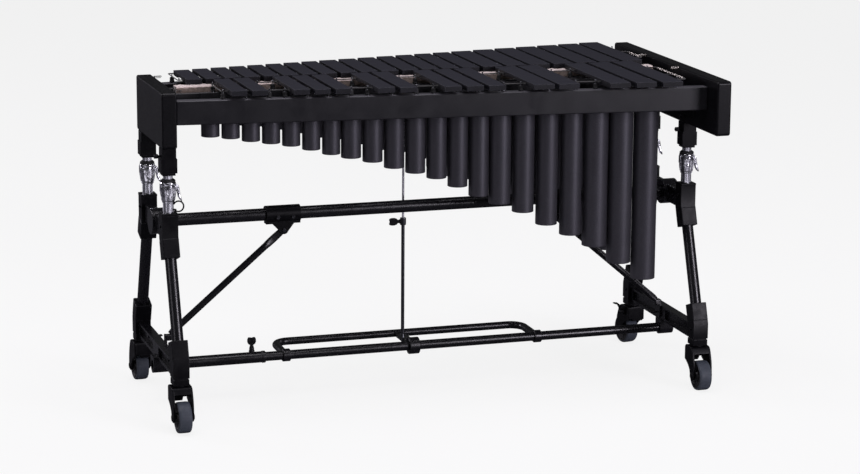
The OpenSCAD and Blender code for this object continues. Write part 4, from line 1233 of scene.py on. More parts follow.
def felt():
    """The pad, with a lumpy surface and two pockets underneath."""
    slices = 420
    section = felt_section()
    count = len(section)
    verts = []
    for i in range(slices + 1):
        x = FELT_LOW.x + (FELT_HIGH.x - FELT_LOW.x) * i / slices
        for u, z in section:
            point = Vector((x, FELT_Y + u, FELT_LOW.z + z))
            probe = Vector((x * 0.11, u * 0.13, z * 0.13))
            lump = noise.noise(probe) * 0.55 + noise.noise(probe * 3.1) * 0.3
            fade = min(1.0, z / FELT_HEIGHT * 1.6)
            outward = Vector((0, u / FELT_HALF, 0.35 + z / FELT_HEIGHT)).normalized()
            wave = 0.35 * math.sin(x * 0.21 + u * 0.05) * fade if z > FELT_HEIGHT * 0.8 else 0
            point += outward * (lump * fade - 0.3) + Vector((0, 0, wave))
            point.z = min(point.z, FELT_HIGH.z + 0.1)
            verts.append(point)
    faces = []
    for i in range(slices):
        near, far = i * count, (i + 1) * count
        for k in range(count):
            after = (k + 1) % count
            faces.append([near + k, far + k, far + after, near + after])
    faces.append(list(range(count)))
    faces.append([slices * count + k for k in range(count)][::-1])
    part, cutter = Part(), Part()
    part.add(verts, faces)
    for x in (-636, 636):
        cutter.lathe([(0, -2), (7.0, -2), (7.0, 8), (0, 8)], 24, pose(x, 15, FELT_LOW.z))
    part.piece("damper_felt_pad", "felt", "damper", "damper_felt", sharp=60, cutter=cutter)


def felt_fibres():
    """Loose fibres, thin spikes, on the felt's top and along its upper edges."""
    rng = random.Random(7)
    part = Part()
    for _ in range(9000):
        x = rng.uniform(FELT_LOW.x + 1, FELT_HIGH.x - 1)
        u = rng.uniform(-FELT_HALF + 0.5, FELT_HALF - 0.5)
        edge = rng.random() < 0.4
        if edge:
            u = (FELT_HALF - 0.4) * (1 if rng.random() < 0.5 else -1)
        z = FELT_HIGH.z - (rng.uniform(1.0, 5.0) if edge else 1.3)
        length = rng.uniform(1.2, 3.0)
        heading, lift = rng.uniform(0, 2 * math.pi), rng.uniform(0.15, 0.7)
        lean = u / FELT_HALF * 0.5 if edge else 0
        direction = Vector((math.cos(heading) * math.cos(lift),
                            math.sin(heading) * math.cos(lift) + lean, math.sin(lift)))
        root = Vector((x, FELT_Y + u, z))
        tip = root + direction * length
        tip.z = min(tip.z, FELT_HIGH.z + 0.35)
        side = Vector((-direction.y, direction.x, 0)).normalized() * 0.09
        part.add([root - side, root + side, root + Vector((0, 0, 0.10)), tip],
                 [[0, 2, 1], [0, 1, 3], [1, 2, 3], [2, 0, 3]])
    part.piece("damper_felt_fibres", "fibre", "damper", slot="felt", sharp=180)


def damper_springs():
    part = Part()
    for x, y, radius, bottom, top in uprights("damper_springs"):
        part.sweep(coil_path((x, y, bottom + 1.0), (x, y, top - 1.0), radius - 1.0, 6, 24),
                   0.95, 9, ends=0.6)
    piece = part.piece("damper_spring_coils", "spring", "keyboard", "damper_springs")
    anchor_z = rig.box("damper_springs")[0].z
    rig.squash(piece, "damper_drop", axis=(0, 0, 1), anchor=(0, 0, anchor_z), keep=0.70)


felt()
felt_fibres()
refine("damper_beam", 0.8, 2)
refine("damper_guides", 0.7, 2)
refine("panel_brackets", 0.6, 2)
refine("resonator_rails", 0.7, 2)
damper_springs()


# ------------------------------------------------------------------ resonators
def resonators(node):
    """Open tubes with chamfered rims."""
    wall, chamfer, rim = 1.5, 0.55, 3.0
    part = Part()
    for x, y, radius, bottom, top in uprights(node):
        inside, middle = radius - wall, (bottom + top) / 2
        profile = [
            (inside + chamfer, bottom), (radius - chamfer, bottom), (radius, bottom + chamfer),
            (radius, bottom + rim), (radius, middle), (radius, top - rim),
            (radius, top - chamfer), (radius - chamfer, top), (inside + chamfer, top),
            (inside, top - chamfer), (inside, middle), (inside, bottom + chamfer)]
        part.lathe(profile, 64, pose(x, y, 0), closed=True)
    part.piece(node + "_bank", "resonator", "keyboard", node, sharp=50)


def stoppers():
    """Discs with a dished underside and a domed centre."""
    part = Part()
    for x, y, radius, bottom, top in uprights("resonator_stoppers"):
        disc = [(0, bottom + 1.1), (radius * 0.55, bottom + 1.0), (radius * 0.62, bottom + 0.2),
                (radius - 3, bottom), (radius, bottom + 0.5), (radius, top - 0.5),
                (radius - 1, top), (0, top)]
        part.turn(disc, 0.8, 3, 48, pose(x, y, 0))
        dome = [(3.4, bottom + 1.1), (3.2, bottom + 0.3), (1.5, bottom - 0.1), (0, bottom - 0.1)]
        part.turn(dome, 0.5, 3, 16, pose(x, y, 0))
    part.piece("resonator_stopper_discs", "stopper", "keyboard", "resonator_stoppers")


resonators("natural_resonators")
resonators("accidental_resonators")
stoppers()


# ------------------------------------------------------------------ height posts
def socket_screws():
    """Thumb screws with ribbed heads, along X."""
    part = Part()
    for low, high in boxes("socket_screws"):
        y, z = (low.y + high.y) / 2, (low.z + high.z) / 2
        length = high.x - low.x
        # those between x = -680 and -640 have their heads towards +X, all others towards -X
        facing = 1 if low.x > -680 and high.x < -640 else -1
        start = low.x if facing > 0 else high.x
        profile = [(0, 0), (2.5, 0), (2.5, 5.4), (3.6, 5.6), (5.1, 6.6), (5.4, 8.0),
                   (5.4, length - 1.6), (4.6, length - 0.2), (0, length)]
        part.turn(profile, 0.6, 3, 24, pose(start, y, z, ry=90 * facing))
        for angle in angles(12):
            rib_y, rib_z = y + 5.35 * math.cos(angle), z + 5.35 * math.sin(angle)
            part.sweep([(start + facing * 8.0, rib_y, rib_z),
                        (start + facing * (length - 1.8), rib_y, rib_z)], 0.55, 6, ends=0.8)
    part.piece("socket_thumb_screws", "moulded", "keyboard", "socket_screws")


def post_tubes():
    upper = Part()
    for x, y, radius, bottom, top in uprights("upper_posts"):
        upper.lathe([(0, bottom), (radius - 1, bottom), (radius, bottom + 1),
                     (radius, bottom + 30), (radius, top - 61), (radius, top - 1),
                     (radius - 1, top), (0, top)], 56, pose(x, y, 0))
    upper.piece("upper_post_tubes", "chrome", "keyboard", "upper_posts")
    lower = Part()
    for x, y, radius, bottom, top in uprights("lower_posts"):
        inside = radius - 1.45
        lower.lathe([(inside, bottom), (radius, bottom), (radius, bottom + 40),
                     (radius, top - 0.6), (radius - 0.5, top), (inside, top)], 56,
                    pose(x, y, 0), closed=True)
    lower.piece("lower_post_tubes", "chrome", "stand", "lower_posts")


def clamp(part, x, y, bottom, top):
    """One casting round a post at x, y. Its lever's pin is 20 mm towards +X."""
    pin_x, pin_z = x + 20, 592
    # barrel: (radius, height above the bottom), with collars and a waist
    barrel = [(13.6, 0), (15.0, 0), (15.8, 1.5), (16.0, 4), (17.6, 7), (17.8, 10), (18.6, 14),
              (19.2, 20), (19.4, 27), (20.0, 33), (20.0, 37), (19.7, 42), (18.7, 43.5),
              (18.7, 45), (19.6, 46.5), (19.6, 49.5), (18.4, top - bottom),
              (12.15, top - bottom), (12.15, 28), (13.6, 27)]
    part.turn([(radius, bottom + height) for radius, height in barrel], 0.8, 3, 56,
              pose(x, y, 0), ring=True)
    # cheeks on both sides of the lever
    cheek = [(x + 9, 583), (pin_x, 583.5)]
    cheek += arc(pin_x, pin_z, 4.6, range(-70, 91, 20), radius_v=5.6)
    cheek += [(x + 12, 602.5), (x + 9, 602)]
    for side in (-1, 1):
        cheek_y = y + side * 7
        part.prism(cheek, "y", cheek_y - 2, cheek_y + 2, 0.9)
    # pin with domed heads
    part.turn([(0, -10.6), (2.2, -10.5), (3.3, -9.9), (3.4, -9), (2.5, -9), (2.5, 9), (3.4, 9),
               (3.3, 9.9), (2.2, 10.5), (0, 10.6)], 0.4, 2, 20, pose(pin_x, y, pin_z, rx=90))
    # two ears on the -X side, and a screw head on the -Y side
    for side in (-1, 1):
        ear_y = y + side * 3.1
        part.block(x - 20.6, x - 14, ear_y - 2.0, ear_y + 2.0, 580, 600, 1.2)
    part.turn([(0, 0), (3.4, 0), (3.4, 1.6), (2.4, 2.6), (0, 2.7)], 0.4, 2, 20,
              pose(x - 4, y - 19.0, 575, rx=90))
    # ribs: (distance from the axis, height above the bottom)
    for k in range(5):
        angle = math.radians(40 + 70 * k)
        part.sweep([(x + math.cos(angle) * out, y + math.sin(angle) * out, bottom + height)
                    for out, height in ((16.4, 12), (18.2, 23), (18.7, 33), (18.6, 40))],
                   [1.2, 2.0, 2.1, 1.2], 10, ends=1.0)


def clamps():
    part = Part()
    bottom, top = [corner.z for corner in node_box("post_clamps")]
    # one clamp at each corner of the stand
    corners = {(x > 0, y > 0): (x, y) for x, y, *_ in uprights("upper_posts")}
    for x, y in corners.values():
        clamp(part, x, y, bottom, top)
    part.piece("post_clamp_castings", "cast_alloy", "stand", "post_clamps")
    gaskets = Part()
    for x, y, radius, bottom, top in uprights("clamp_gaskets"):
        gaskets.turn([(12.2, bottom), (radius - 0.4, bottom), (radius, bottom + 0.9),
                      (radius, bottom + 3.9), (radius - 1.2, bottom + 5), (15.6, bottom + 5.2),
                      (15.2, top - 0.4), (14.0, top), (12.2, top)], 0.5, 2, 48,
                     pose(x, y, 0), ring=True)
    gaskets.piece("clamp_gasket_rings", "rubber", "stand", "clamp_gaskets")


# (towards +X, height, half width, half thickness), from the pin down to the hooked tip
LEVER_STATIONS = [
    (2.0, 1, 3.6, 4.6), (3.6, -5, 4.1, 4.6), (5.0, -12, 4.1, 4.2), (6.2, -19, 4.8, 3.9),
    (8.0, -26, 6.0, 3.4), (10.8, -32, 6.6, 2.5), (13.6, -36.4, 5.4, 1.1)]


def lever(end, side):
    """A round cam on the pin, and a blade that hooks out towards +X."""
    node = f"clamp_lever_{end}_{side}"
    pin = [value * 1000 for value in JOINTS[f"lever_{end}_{side}_open"]["pos_m"]]
    part = Part()
    part.turn([(0, -4.7), (5.2, -4.7), (6.0, -4.0), (6.0, 4.0), (5.2, 4.7), (0, 4.7)], 0.6, 3,
              32, pose(*pin, rx=90))
    part.blade(LEVER_STATIONS, 16, powers=(0.55, 0.75), turn=-1,
               place=lambda x, y, z: (pin[0] + x, pin[1] + y, pin[2] + z))
    part.piece(node + "_blade", "cast_alloy", BODY[node], node, sharp=45)


CORNERS = [(end, side) for end in ("high", "low") for side in ("front", "back")]

refine("post_sockets", 1.6, 3)
screw_heads("panel_bolts")
screw_heads("frame_screws")
socket_screws()
post_tubes()
clamps()
for end, side in CORNERS:
    lever(end, side)


# ------------------------------------------------------------------ legs and cross members
LEG_X = 691
LEG_TOP = (124, 466)      # distance from the middle in Y, and height
LEG_BOTTOM = (229, 171)
LEG_ANGLE = math.degrees(math.atan2(LEG_BOTTOM[0] - LEG_TOP[0], LEG_TOP[1] - LEG_BOTTOM[1]))
BEAM_Z = 106.6            # axis of the lower beam


def leg_collars(part, joint, half_depth, start, end, top_band=False):
    """A rounded band round each leg, from start to end along it from the joint."""
    y, z = joint
    band = round_rect(-21.2, 21.2, -half_depth, half_depth, 3.0, 4)
    for x in (-LEG_X, LEG_X):
        for side in (-1, 1):
            part.prism(band, "z", start, end, 1.4, place=pose(x, side * y, z, rx=side * LEG_ANGLE))
            if top_band:
                part.block(x - 21.1, x + 21.1, side * y - 19.6, side * y + 19.6,
                           520.5, 527.6, 1.6)


# (distance along, half height, half thickness across) at the brace's inner, flattened end
BRACE_INNER = [
    (-8.3, 3.0, 3.0), (-7.2, 5.4, 3.0), (-4.0, 7.6, 3.0), (0, 8.6, 3.0), (20, 9.6, 3.0),
    (34, 9.9, 3.1), (44, 9.6, 4.2), (54, 9.0, 6.4), (62, 8.6, 8.0), (68, 8.5, 8.5),
    (90, 8.5, 8.5)]


def braces():
    part = Part()
    across = Vector((0, 1, 0))
    for side in (-1, 1):
        inner, outer = Vector((side * 366.0, 0, 439.0)), Vector((side * 668.0, 0, 182.0))
        along = (outer - inner).normalized()
        normal = along.cross(across).normalized()
        length = (outer - inner).length
        stations = BRACE_INNER + [
            (length / 2, 8.5, 8.5), (length - 60, 8.5, 8.5), (length - 40, 8.5, 8.5),
            (length - 26, 8.7, 7.6), (length - 14, 8.6, 6.6), (length - 4, 7.0, 6.5)]
        rings = []
        for distance, height, thick in stations:
            power = 1.0 if thick > 7.9 else 0.62
            rings.append([inner + along * distance + normal * u + across * v
                          for u, v in superellipse(24, height, thick, power, power)])
        part.loft(rings, flip_caps=False)
        # foot: an upright plate with a round lower end, and a block on top
        plate = [(-9, 184)] + arc(0, 143, 9, range(180, 361, 15)) + [(9, 184)]
        part.prism(plate, "x", side * 674, side * 679, 0.8)
        part.block(*sorted((side * 661, side * 678)), -9, 9, 169, 184, 2.6, 4)
    part.piece("diagonal_brace_tubes", "frame_steel", "stand", "diagonal_braces", sharp=45)


def lower_sleeve():
    low, high = node_box("lower_beam_sleeve")
    length = high.x - low.x
    part = Part()
    part.turn([(12.05, 0), (14.5, 0), (14.5, 40), (14.5, length - 9), (15.6, length - 8.4),
               (15.6, length - 0.8), (14.8, length), (12.05, length)], 0.5, 3, 48,
              pose(low.x, 0, BEAM_Z, ry=90), ring=True)
    # weld nut for the wing screw
    part.turn([(2.55, 13.2), (7.5, 13.4), (7.5, 19), (6.4, 20.4), (6.4, 26.4), (5.6, 27),
               (2.55, 27)], 0.7, 3, 32, pose(-452, 0, BEAM_Z))
    part.piece("lower_beam_sleeve_tube", "frame_steel", "stand", "lower_beam_sleeve", sharp=45)


def tether():
    """An open loop, with a short stub at its first end."""
    low, high = node_box("tether_loop")
    centre = (low + high) / 2
    radius = (high.z - low.z) / 2 - 1.4
    part = Part()
    points = []
    for k in range(49):
        angle = math.radians(-150 + 300 * k / 48)
        points.append((centre.x - 0.9 + radius * math.cos(angle),
                       centre.y + 2.2 * math.sin(angle * 0.5 + 0.6),
                       centre.z + radius * math.sin(angle)))
    part.sweep(points, 2.0, 12, finish=1, uv=True, ends=1.0)
    x, y, z = points[0]
    part.sweep([(x - 1.5, y, z), (x + 4, y, z - 1)], 2.0, 12, finish=1, uv=True, ends=0.8)
    part.piece("tether_loop_cord", ["cord", "moulded"], "stand", "tether_loop", slot="rubber")


refine("upper_leg_brackets", 1.8, 3,
       extra=lambda part: leg_collars(part, LEG_TOP, 19.7, -55, -8, top_band=True))
refine("lower_leg_brackets", 1.8, 3,
       extra=lambda part: leg_collars(part, LEG_BOTTOM, 20.7, 7, 53))
refine("caster_sockets", 1.4, 3)
refine("upper_crossbars", 1.4, 3)
refine("lower_crossbars", 1.2, 3)
refine("beam_clamps", 1.5, 3)
keep("leg_tubes")
keep("upper_beam")
braces()
keep("lower_beam")
lower_sleeve()
tether()


# ------------------------------------------------------------------ wing screws
# right half of the paddle: share of the half span, share of the height
PADDLE = [(0.20, 0.0), (0.42, 0.08), (0.80, 0.22), (1.0, 0.45), (1.0, 0.72), (0.86, 0.93),
          (0.62, 1.0), (0.30, 0.965), (0.0, 0.93)]


def wing_screw(node, length, span, shaft, neck):
    """A moulded paddle on a threaded shank, along its joint's axis."""
    body = BODY[node]
    joint = next(joint for joint in frame["joints"] if joint["child"] == body)
    origin = Vector(joint["pos_m"]) * 1000
    axis = Vector(joint["axis"]).normalized()
    low, high = node_box(node)
    if ((low + high) / 2 - origin).dot(axis) < 0:
        axis = -axis
    across = Vector((1, 0, 0)) if abs(axis.z) > 0.5 else Vector((0, 0, 1))
    turned = Matrix((across, axis.cross(across), axis)).transposed().to_4x4()
    place = Matrix.Translation(origin) @ turned
    part = Part()
    profile = [(0, -shaft), (2.0, -shaft), (2.4, -shaft + 0.8)]
    profile += thread(-shaft + 0.5, top=-1.1, pitch=0.5, root=2.12, crest=2.42)
    profile += [(2.4, 0), (5.4, 0.05), (5.4, neck * 0.35), (4.2, neck * 0.8), (4.4, neck + 2),
                (0, neck + 3)]
    part.lathe(profile, 24, place)
    bottom, half = neck * 0.6, span / 2
    right = [(half * u, bottom + (length - bottom) * v) for u, v in PADDLE]
    left = [(-u, v) for u, v in right[:-1]][::-1]
    part.prism(right + left, "y", -2.1, 2.1, 1.35, 4, place)
    # grip ribs
    for side in (-1, 1):
        for share in (0.5, 0.62, 0.74, 0.86):
            z = bottom + (length - bottom) * share
            for face in (-1, 1):
                part.sweep([place @ Vector((side * half * reach, face * 2.0, z))
                            for reach in (0.35, 0.82)], 0.45, 6, ends=0.9)
    part.piece(node + "_paddle", "moulded", body, node)


wing_screw("sleeve_wing_screw", length=27, span=23, shaft=14, neck=7)
wing_screw("crossbar_wing_screw", length=20, span=24, shaft=24, neck=6)
wing_screw("rod_wing_screw", length=30, span=20, shaft=4, neck=6)


# ------------------------------------------------------------------ pull rod and pedal
ROD_X, ROD_Y = -38.0, 27.0


def pull_rod():
    bottom = node_box("damper_rod")[0].z
    place = pose(ROD_X, ROD_Y, 0)
    part = Part()
    profile = [(0, bottom), (2.4, bottom), (3.0, bottom + 0.6), (3.0, bottom + 200), (3.0, 735)]
    profile += thread(735, top=767, pitch=0.7, root=2.6, crest=3.0)
    part.lathe(profile + [(3.0, 768), (3.0, 776), (0, 776)], 28, place)
    # six-sided nut, top plate and two screws under it
    part.lathe([(0, 766), (6.2, 766), (7.0, 767), (7.0, 772.6), (6.2, 773.4), (0, 773.4)], 6, place)
    part.block(ROD_X - 14, ROD_X + 14, ROD_Y - 8, ROD_Y + 8, 776, 780, 0.9)
    for side in (-1, 1):
        part.turn([(0, 773.6), (2.8, 773.6), (3.2, 774.4), (3.2, 776), (0, 776)], 0.4, 2, 18,
                  pose(ROD_X + side * 10.2, ROD_Y, 0))
    part.piece("damper_pull_rod", "post_steel", "damper", "damper_rod")


def slotted_eye():
    """A round plate across X with a slot along Y."""
    count = 32
    outer, inner = [], []
    for angle in angles(count):
        u, v = math.cos(angle), math.sin(angle)
        shift = 0.8 if u > 0 else -2.2
        outer.append((ROD_Y - 0.7 + 8.0 * u, BEAM_Z + 8.0 * v))
        inner.append((ROD_Y + shift + 3.35 * u, BEAM_Z + 3.35 * v))
    verts = [(x, *point) for x in (ROD_X - 2, ROD_X + 2) for point in outer + inner]
    faces = []
    for k in range(count):
        after = (k + 1) % count
        # the same point on the outer and inner outline of each face
        (o0, i0, o1, i1), (p0, j0, p1, j1) = [
            [row * count + index for row in range(4)] for index in (k, after)]
        faces += [[o0, p0, j0, i0], [o1, i1, j1, p1], [o0, o1, p1, p0], [i0, j0, j1, i1]]
    return bevelled(new_bmesh(verts, faces), 0.5, 2, 50)


def rod_sleeve():
    """A tube round the rod that flattens into the slotted eye."""
    part = Part()
    part.turn([(3.05, 140), (4.5, 140), (4.5, 424), (5.6, 425), (7.6, 426), (8.0, 427.5),
               (8.0, 442.5), (7.6, 444.2), (3.05, 445)], 0.4, 2, 32, pose(ROD_X, ROD_Y, 0),
              ring=True)
    rings = []
    # height, half width in X, half width in Y
    for z, half_x, half_y in ((141, 4.5, 4.5), (134, 4.5, 4.5), (128, 4.0, 5.6),
                              (122, 2.4, 7.4), (116, 2.0, 8.0), (110, 2.0, 8.2)):
        power = 1.0 if half_x > 4 else 0.6
        rings.append([(ROD_X + u, ROD_Y + v, z)
                      for u, v in superellipse(20, half_x, half_y, power, power)])
    part.loft(rings)
    part.merge(slotted_eye())
    part.piece("damper_rod_sleeve", "tube_satin", "rod_tube", "damper_rod_tube",
               slot="frame_steel")


def pedal():
    """A bent tube hung from the lower beam on collars, with a central plate."""
    left, right, reach, bend = -361.0, 327.0, 135.0, 38.0
    bore, hub_x = 12.05, -17
    part = Part()
    path = [(left, y) for y in (10, 30, 60)]
    path += arc(left + bend, reach - bend, bend, range(180, 89, -9))
    path += [(left + bend + (right - left - 2 * bend) * k / 12, reach) for k in range(1, 12)]
    path += arc(right - bend, reach - bend, bend, range(90, -1, -9))
    path += [(right, y) for y in (60, 30, 10)]
    part.sweep([(x, y, BEAM_Z) for x, y in path], 10.0, 28)
    for x in (left, right):
        part.turn([(bore, -10), (15.4, -10), (16.5, -9), (16.5, -4), (16.5, 4), (16.5, 9),
                   (15.4, 10), (bore, 10)], 0.6, 3, 48, pose(x, 0, BEAM_Z, ry=90), ring=True)
        # weld bead
        part.sweep([(x + 10.4 * math.cos(angle), 12.2 + 2.2 * abs(math.cos(angle)) ** 2,
                     BEAM_Z + 10.4 * math.sin(angle)) for angle in angles(24)],
                   1.3, 8, closed=True)
    part.turn([(bore, -14), (20.8, -14), (22, -12.8), (22, 12.8), (20.8, 14), (bore, 14)],
              0.8, 3, 56, pose(hub_x, 0, BEAM_Z, ry=90), ring=True)
    part.block(hub_x - 14, hub_x + 14, 16, reach - 5, BEAM_Z - 4, BEAM_Z + 4, 1.2)
    # two screws on the plate, and the pin through the rod's eye
    for y in (52, 100):
        part.turn([(0, 3.6), (5.2, 3.6), (5.2, 5.4), (4.2, 6.8), (2.6, 6.9), (2.4, 5.0),
                   (0, 5.0)], 0.3, 2, 24, pose(hub_x, y, BEAM_Z), finish=1)
    part.turn([(0, 0), (4.0, 0), (4.5, 0.6), (4.5, 1.7), (3.0, 1.8), (3.0, 13), (0, 13)],
              0.3, 2, 24, pose(-43, ROD_Y, BEAM_Z, ry=90), finish=1)
    part.piece("pedal_frame_tube", ["frame_steel", "bolt"], "pedal", "pedal_frame", sharp=45)


pull_rod()
rod_sleeve()
pedal()


# ------------------------------------------------------------------ casters
# A caster's own frame has Z through its swivel and X towards the wheel's axle.
WHEEL_RADIUS, TRAIL = 39.0, 29.0
BRAKE_Y, BRAKE_Z = 31.2, 96

# (x, z) side views
HOOD = [(-22, 74), (-22, 106), (-20, 111), (-15, 113.5), (16, 113.5), (24, 110), (29, 102),
        (34, 90), (38.5, 76), (40.5, 62), (41.5, 48)]
HOOD += arc(TRAIL, WHEEL_RADIUS, 12.5, range(10, -181, -19)) + [(12, 52), (2, 62), (-12, 70)]
CROWN = [(-22, 78), (-22, 106), (-20, 111), (-15, 113.5), (16, 113.5), (24, 110), (28, 103),
         (31, 96), (26, 96), (20, 102), (10, 104.5), (-8, 104), (-16, 98), (-18, 88), (-18, 78)]
WEB = [(-20, 96), (-20, 70), (-14, 70), (-6, 79), (2, 92), (2, 100)]
# (y, z) end view of the ears that hold the brake
BRAKE_EAR = [(24.5, 86), (31.2, 88.6), (35.6, 92.5), (36.2, 97), (34, 100.8), (29.5, 102.4),
             (24.5, 103)]

# wheel profiles: one half as (inset from the wheel's radius or radius, half width)
TREAD_HALF = [(6, 15.9), (3.6, 16.4), (2.0, 15.6), (0.8, 13.6), (0.15, 10.6), (0, 6)]
RIM_HALF = [(6, 15.9), (7.2, 16.3), (8.4, 15.4), (9.6, 13.2)]
HUB_HALF = [(15.5, 12.2), (13.5, 13.6), (12.2, 17.2), (10.8, 18), (4.1, 18)]

# (out from the pin, height, half width, half thickness)
BRAKE_STATIONS = [
    (1.8, 3.2, 5.6, 2.2), (4.2, 8, 5.6, 2.2), (7.2, 14, 5.8, 2.1), (9.6, 18.8, 7.2, 2.1),
    (12.6, 22.2, 8.4, 2.0), (17.0, 24.2, 9.0, 1.8), (21.5, 25.0, 8.8, 1.7),
    (24.2, 25.2, 7.8, 1.2)]


def caster_fork(key, place, brake_side):
    """brake_side is the Y side of the brake, or 0 where there is none."""
    part = Part()
    for side in (-1, 1):
        part.prism(HOOD, "y", *sorted((side * 20.6, side * 26.2)), 1.6, place=place)
    part.prism(CROWN, "y", -25.4, 25.4, 1.0, place=place)
    part.prism(WEB, "y", -23, 9, 1.0, 2, place)
    # swivel plate and stem
    part.turn([(0, 112), (16, 112), (16.4, 113), (15.6, 115.4), (14, 115.9), (5.45, 115.9),
               (5.45, 151), (4.6, 152), (0, 152)], 0.6, 3, 40, place)
    # axle caps and axle
    for side in (-1, 1):
        part.turn([(0, 0), (8.6, 0), (8.6, 1.4), (7.6, 2.6), (5.0, 2.9), (4.4, 1.8), (0, 1.8)],
                  0.4, 2, 32, place @ pose(TRAIL, side * 25.8, WHEEL_RADIUS, rx=-90 * side))
    part.lathe([(0, -26), (4, -26), (4, 26), (0, 26)], 20,
               place @ pose(TRAIL, 0, WHEEL_RADIUS, rx=90))
    if brake_side:
        ear = [(brake_side * y, z) for y, z in BRAKE_EAR]
        for x in (-6, 10):
            part.prism(ear, "x", x, x + 3, 0.7, 2, place)
        part.turn([(0, -7.2), (3.4, -7.0), (3.8, -6), (2.5, -5.9), (2.5, 13), (3.8, 13.1),
                   (3.4, 14.2), (0, 14.4)], 0.3, 2, 18,
                  place @ pose(0, brake_side * BRAKE_Y, BRAKE_Z, ry=90))
    node = "caster_fork_" + key
    part.piece(node + "_shell", "moulded", BODY[node], node, sharp=40)


def caster_wheel(key, place):
    """A grey tread on a black hub with six ribs on each side."""
    part = Part()
    tread = [(WHEEL_RADIUS - inset, half) for inset, half in TREAD_HALF]
    rim = [(WHEEL_RADIUS - inset, half) for inset, half in RIM_HALF]
    hub = rim + HUB_HALF
    lower_tread = [(radius, -half) for radius, half in tread]
    lower_hub = [(radius, -half) for radius, half in hub]
    part.lathe(lower_tread + [(WHEEL_RADIUS, 0)] + tread[::-1], 96, place, closed=True)
    part.lathe(lower_hub + hub[::-1], 72, place, finish=1, closed=True)
    rib_end = WHEEL_RADIUS - 9.2
    rib = [(14.5, -1.4), (rib_end, -2.0), (rib_end, 2.0), (14.5, 1.4)]
    for side in (-1, 1):
        for k in range(6):
            part.prism(rib, "z", *sorted((side * 11.5, side * 13.6)), 0.5, 2,
                       place @ pose(0, 0, 0, rz=60 * k + 12), finish=1)
    node = "caster_wheel_" + key
    part.piece(node + "_tread", ["wheel", "hub"], BODY[node], node, sharp=40)


def caster_brake(end, place, side):
    """A tab on a sleeve round the brake's pin, with three ribs on top."""
    part = Part()
    part.turn([(2.6, -2.8), (4.6, -2.8), (5.0, -2.2), (5.0, 9.3), (4.6, 9.8), (2.6, 9.8)],
              0.3, 2, 28, place @ pose(0, side * BRAKE_Y, BRAKE_Z, ry=90), ring=True)

    def on_pin(out, x, z):
        return place @ Vector((x, side * (BRAKE_Y + out), BRAKE_Z + z))

    part.blade(BRAKE_STATIONS, 20, powers=(0.5, 0.8), turn=1,
               place=lambda out, x, z: on_pin(out, 3.5 + x, z))
    for k in range(3):
        out, z = 14.5 + 3.2 * k, 26.3 - 0.35 * (2 - k)
        part.sweep([on_pin(out, -2.4, z), on_pin(out, 9.4, z)], 0.7, 8, ends=0.9)
    node = "caster_brake_" + end
    part.piece(node + "_tab", "moulded", BODY[node], node, sharp=45)


def caster(end, side):
    key = f"{end}_{side}"
    swivel = Vector(JOINTS["swivel_" + key]["pos_m"]) * 1000
    axle = Vector(JOINTS["roll_" + key]["pos_m"]) * 1000
    heading = math.degrees(math.atan2(axle.y - swivel.y, axle.x - swivel.x))
    place = pose(swivel.x, swivel.y, 0, rz=heading)
    brake_side = 0
    if side == "back":
        pin = Vector(JOINTS[f"brake_{end}_press"]["pos_m"]) * 1000
        brake_side = 1 if (place.inverted() @ pin).y > 0 else -1
    caster_fork(key, place, brake_side)
    caster_wheel(key, pose(*axle, rx=90, rz=heading))
    if brake_side:
        caster_brake(end, place, brake_side)


for end, side in CORNERS:
    caster(end, side)


# ------------------------------------------------------------------ stage, light and camera
TONE = (0.985, 0.935, 1.05)


def floor_finish():
    """A pale floor, mostly its own even tone to the camera, on which shadows still fall."""
    mat = Finish("stage_pale", (0.80, 0.80, 0.80), rough=0.9, specular=0.0)
    mat.mottle(0.6, span=(0.3, 0.7), amount=0.15, colour=(0.81, 0.81, 0.81))
    ray = mat.node("ShaderNodeLightPath")
    # reflections see a darker floor, so black parts stay black
    mat.tint(ray.outputs["Is Glossy Ray"], colour=(0.10, 0.10, 0.11))
    material = mat.done()
    glow = mat.node("ShaderNodeEmission")
    glow.inputs["Color"].default_value = (0.985, 0.985, 0.985, 1)
    mix = mat.node("ShaderNodeMixShader")
    glow_share = 0.86
    mat.put(mix.inputs[0], mat.math("MULTIPLY", ray.outputs["Is Camera Ray"], glow_share))
    mat.link(mat.shader.outputs[0], mix.inputs[1])
    mat.link(glow.outputs[0], mix.inputs[2])
    mat.link(mix.outputs[0], mat.tree.nodes["Material Output"].inputs["Surface"])
    return material


def floor():
    cells, reach = 12, 24.0
    steps = [reach * (2 * i / cells - 1) for i in range(cells + 1)]
    row = cells + 1
    faces = [[j * row + i, j * row + i + 1, (j + 1) * row + i + 1, (j + 1) * row + i]
             for j in range(cells) for i in range(cells)]
    mesh = bpy.data.meshes.new("stage_floor")
    mesh.from_pydata([(x, y, 0.0) for y in steps for x in steps], [], faces)
    mesh.polygons.foreach_set("use_smooth", [True] * len(mesh.polygons))
    stage = bpy.data.objects.new("stage_floor", mesh)
    bpy.context.scene.collection.objects.link(stage)
    mesh.materials.append(floor_finish())
    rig.stage(stage)


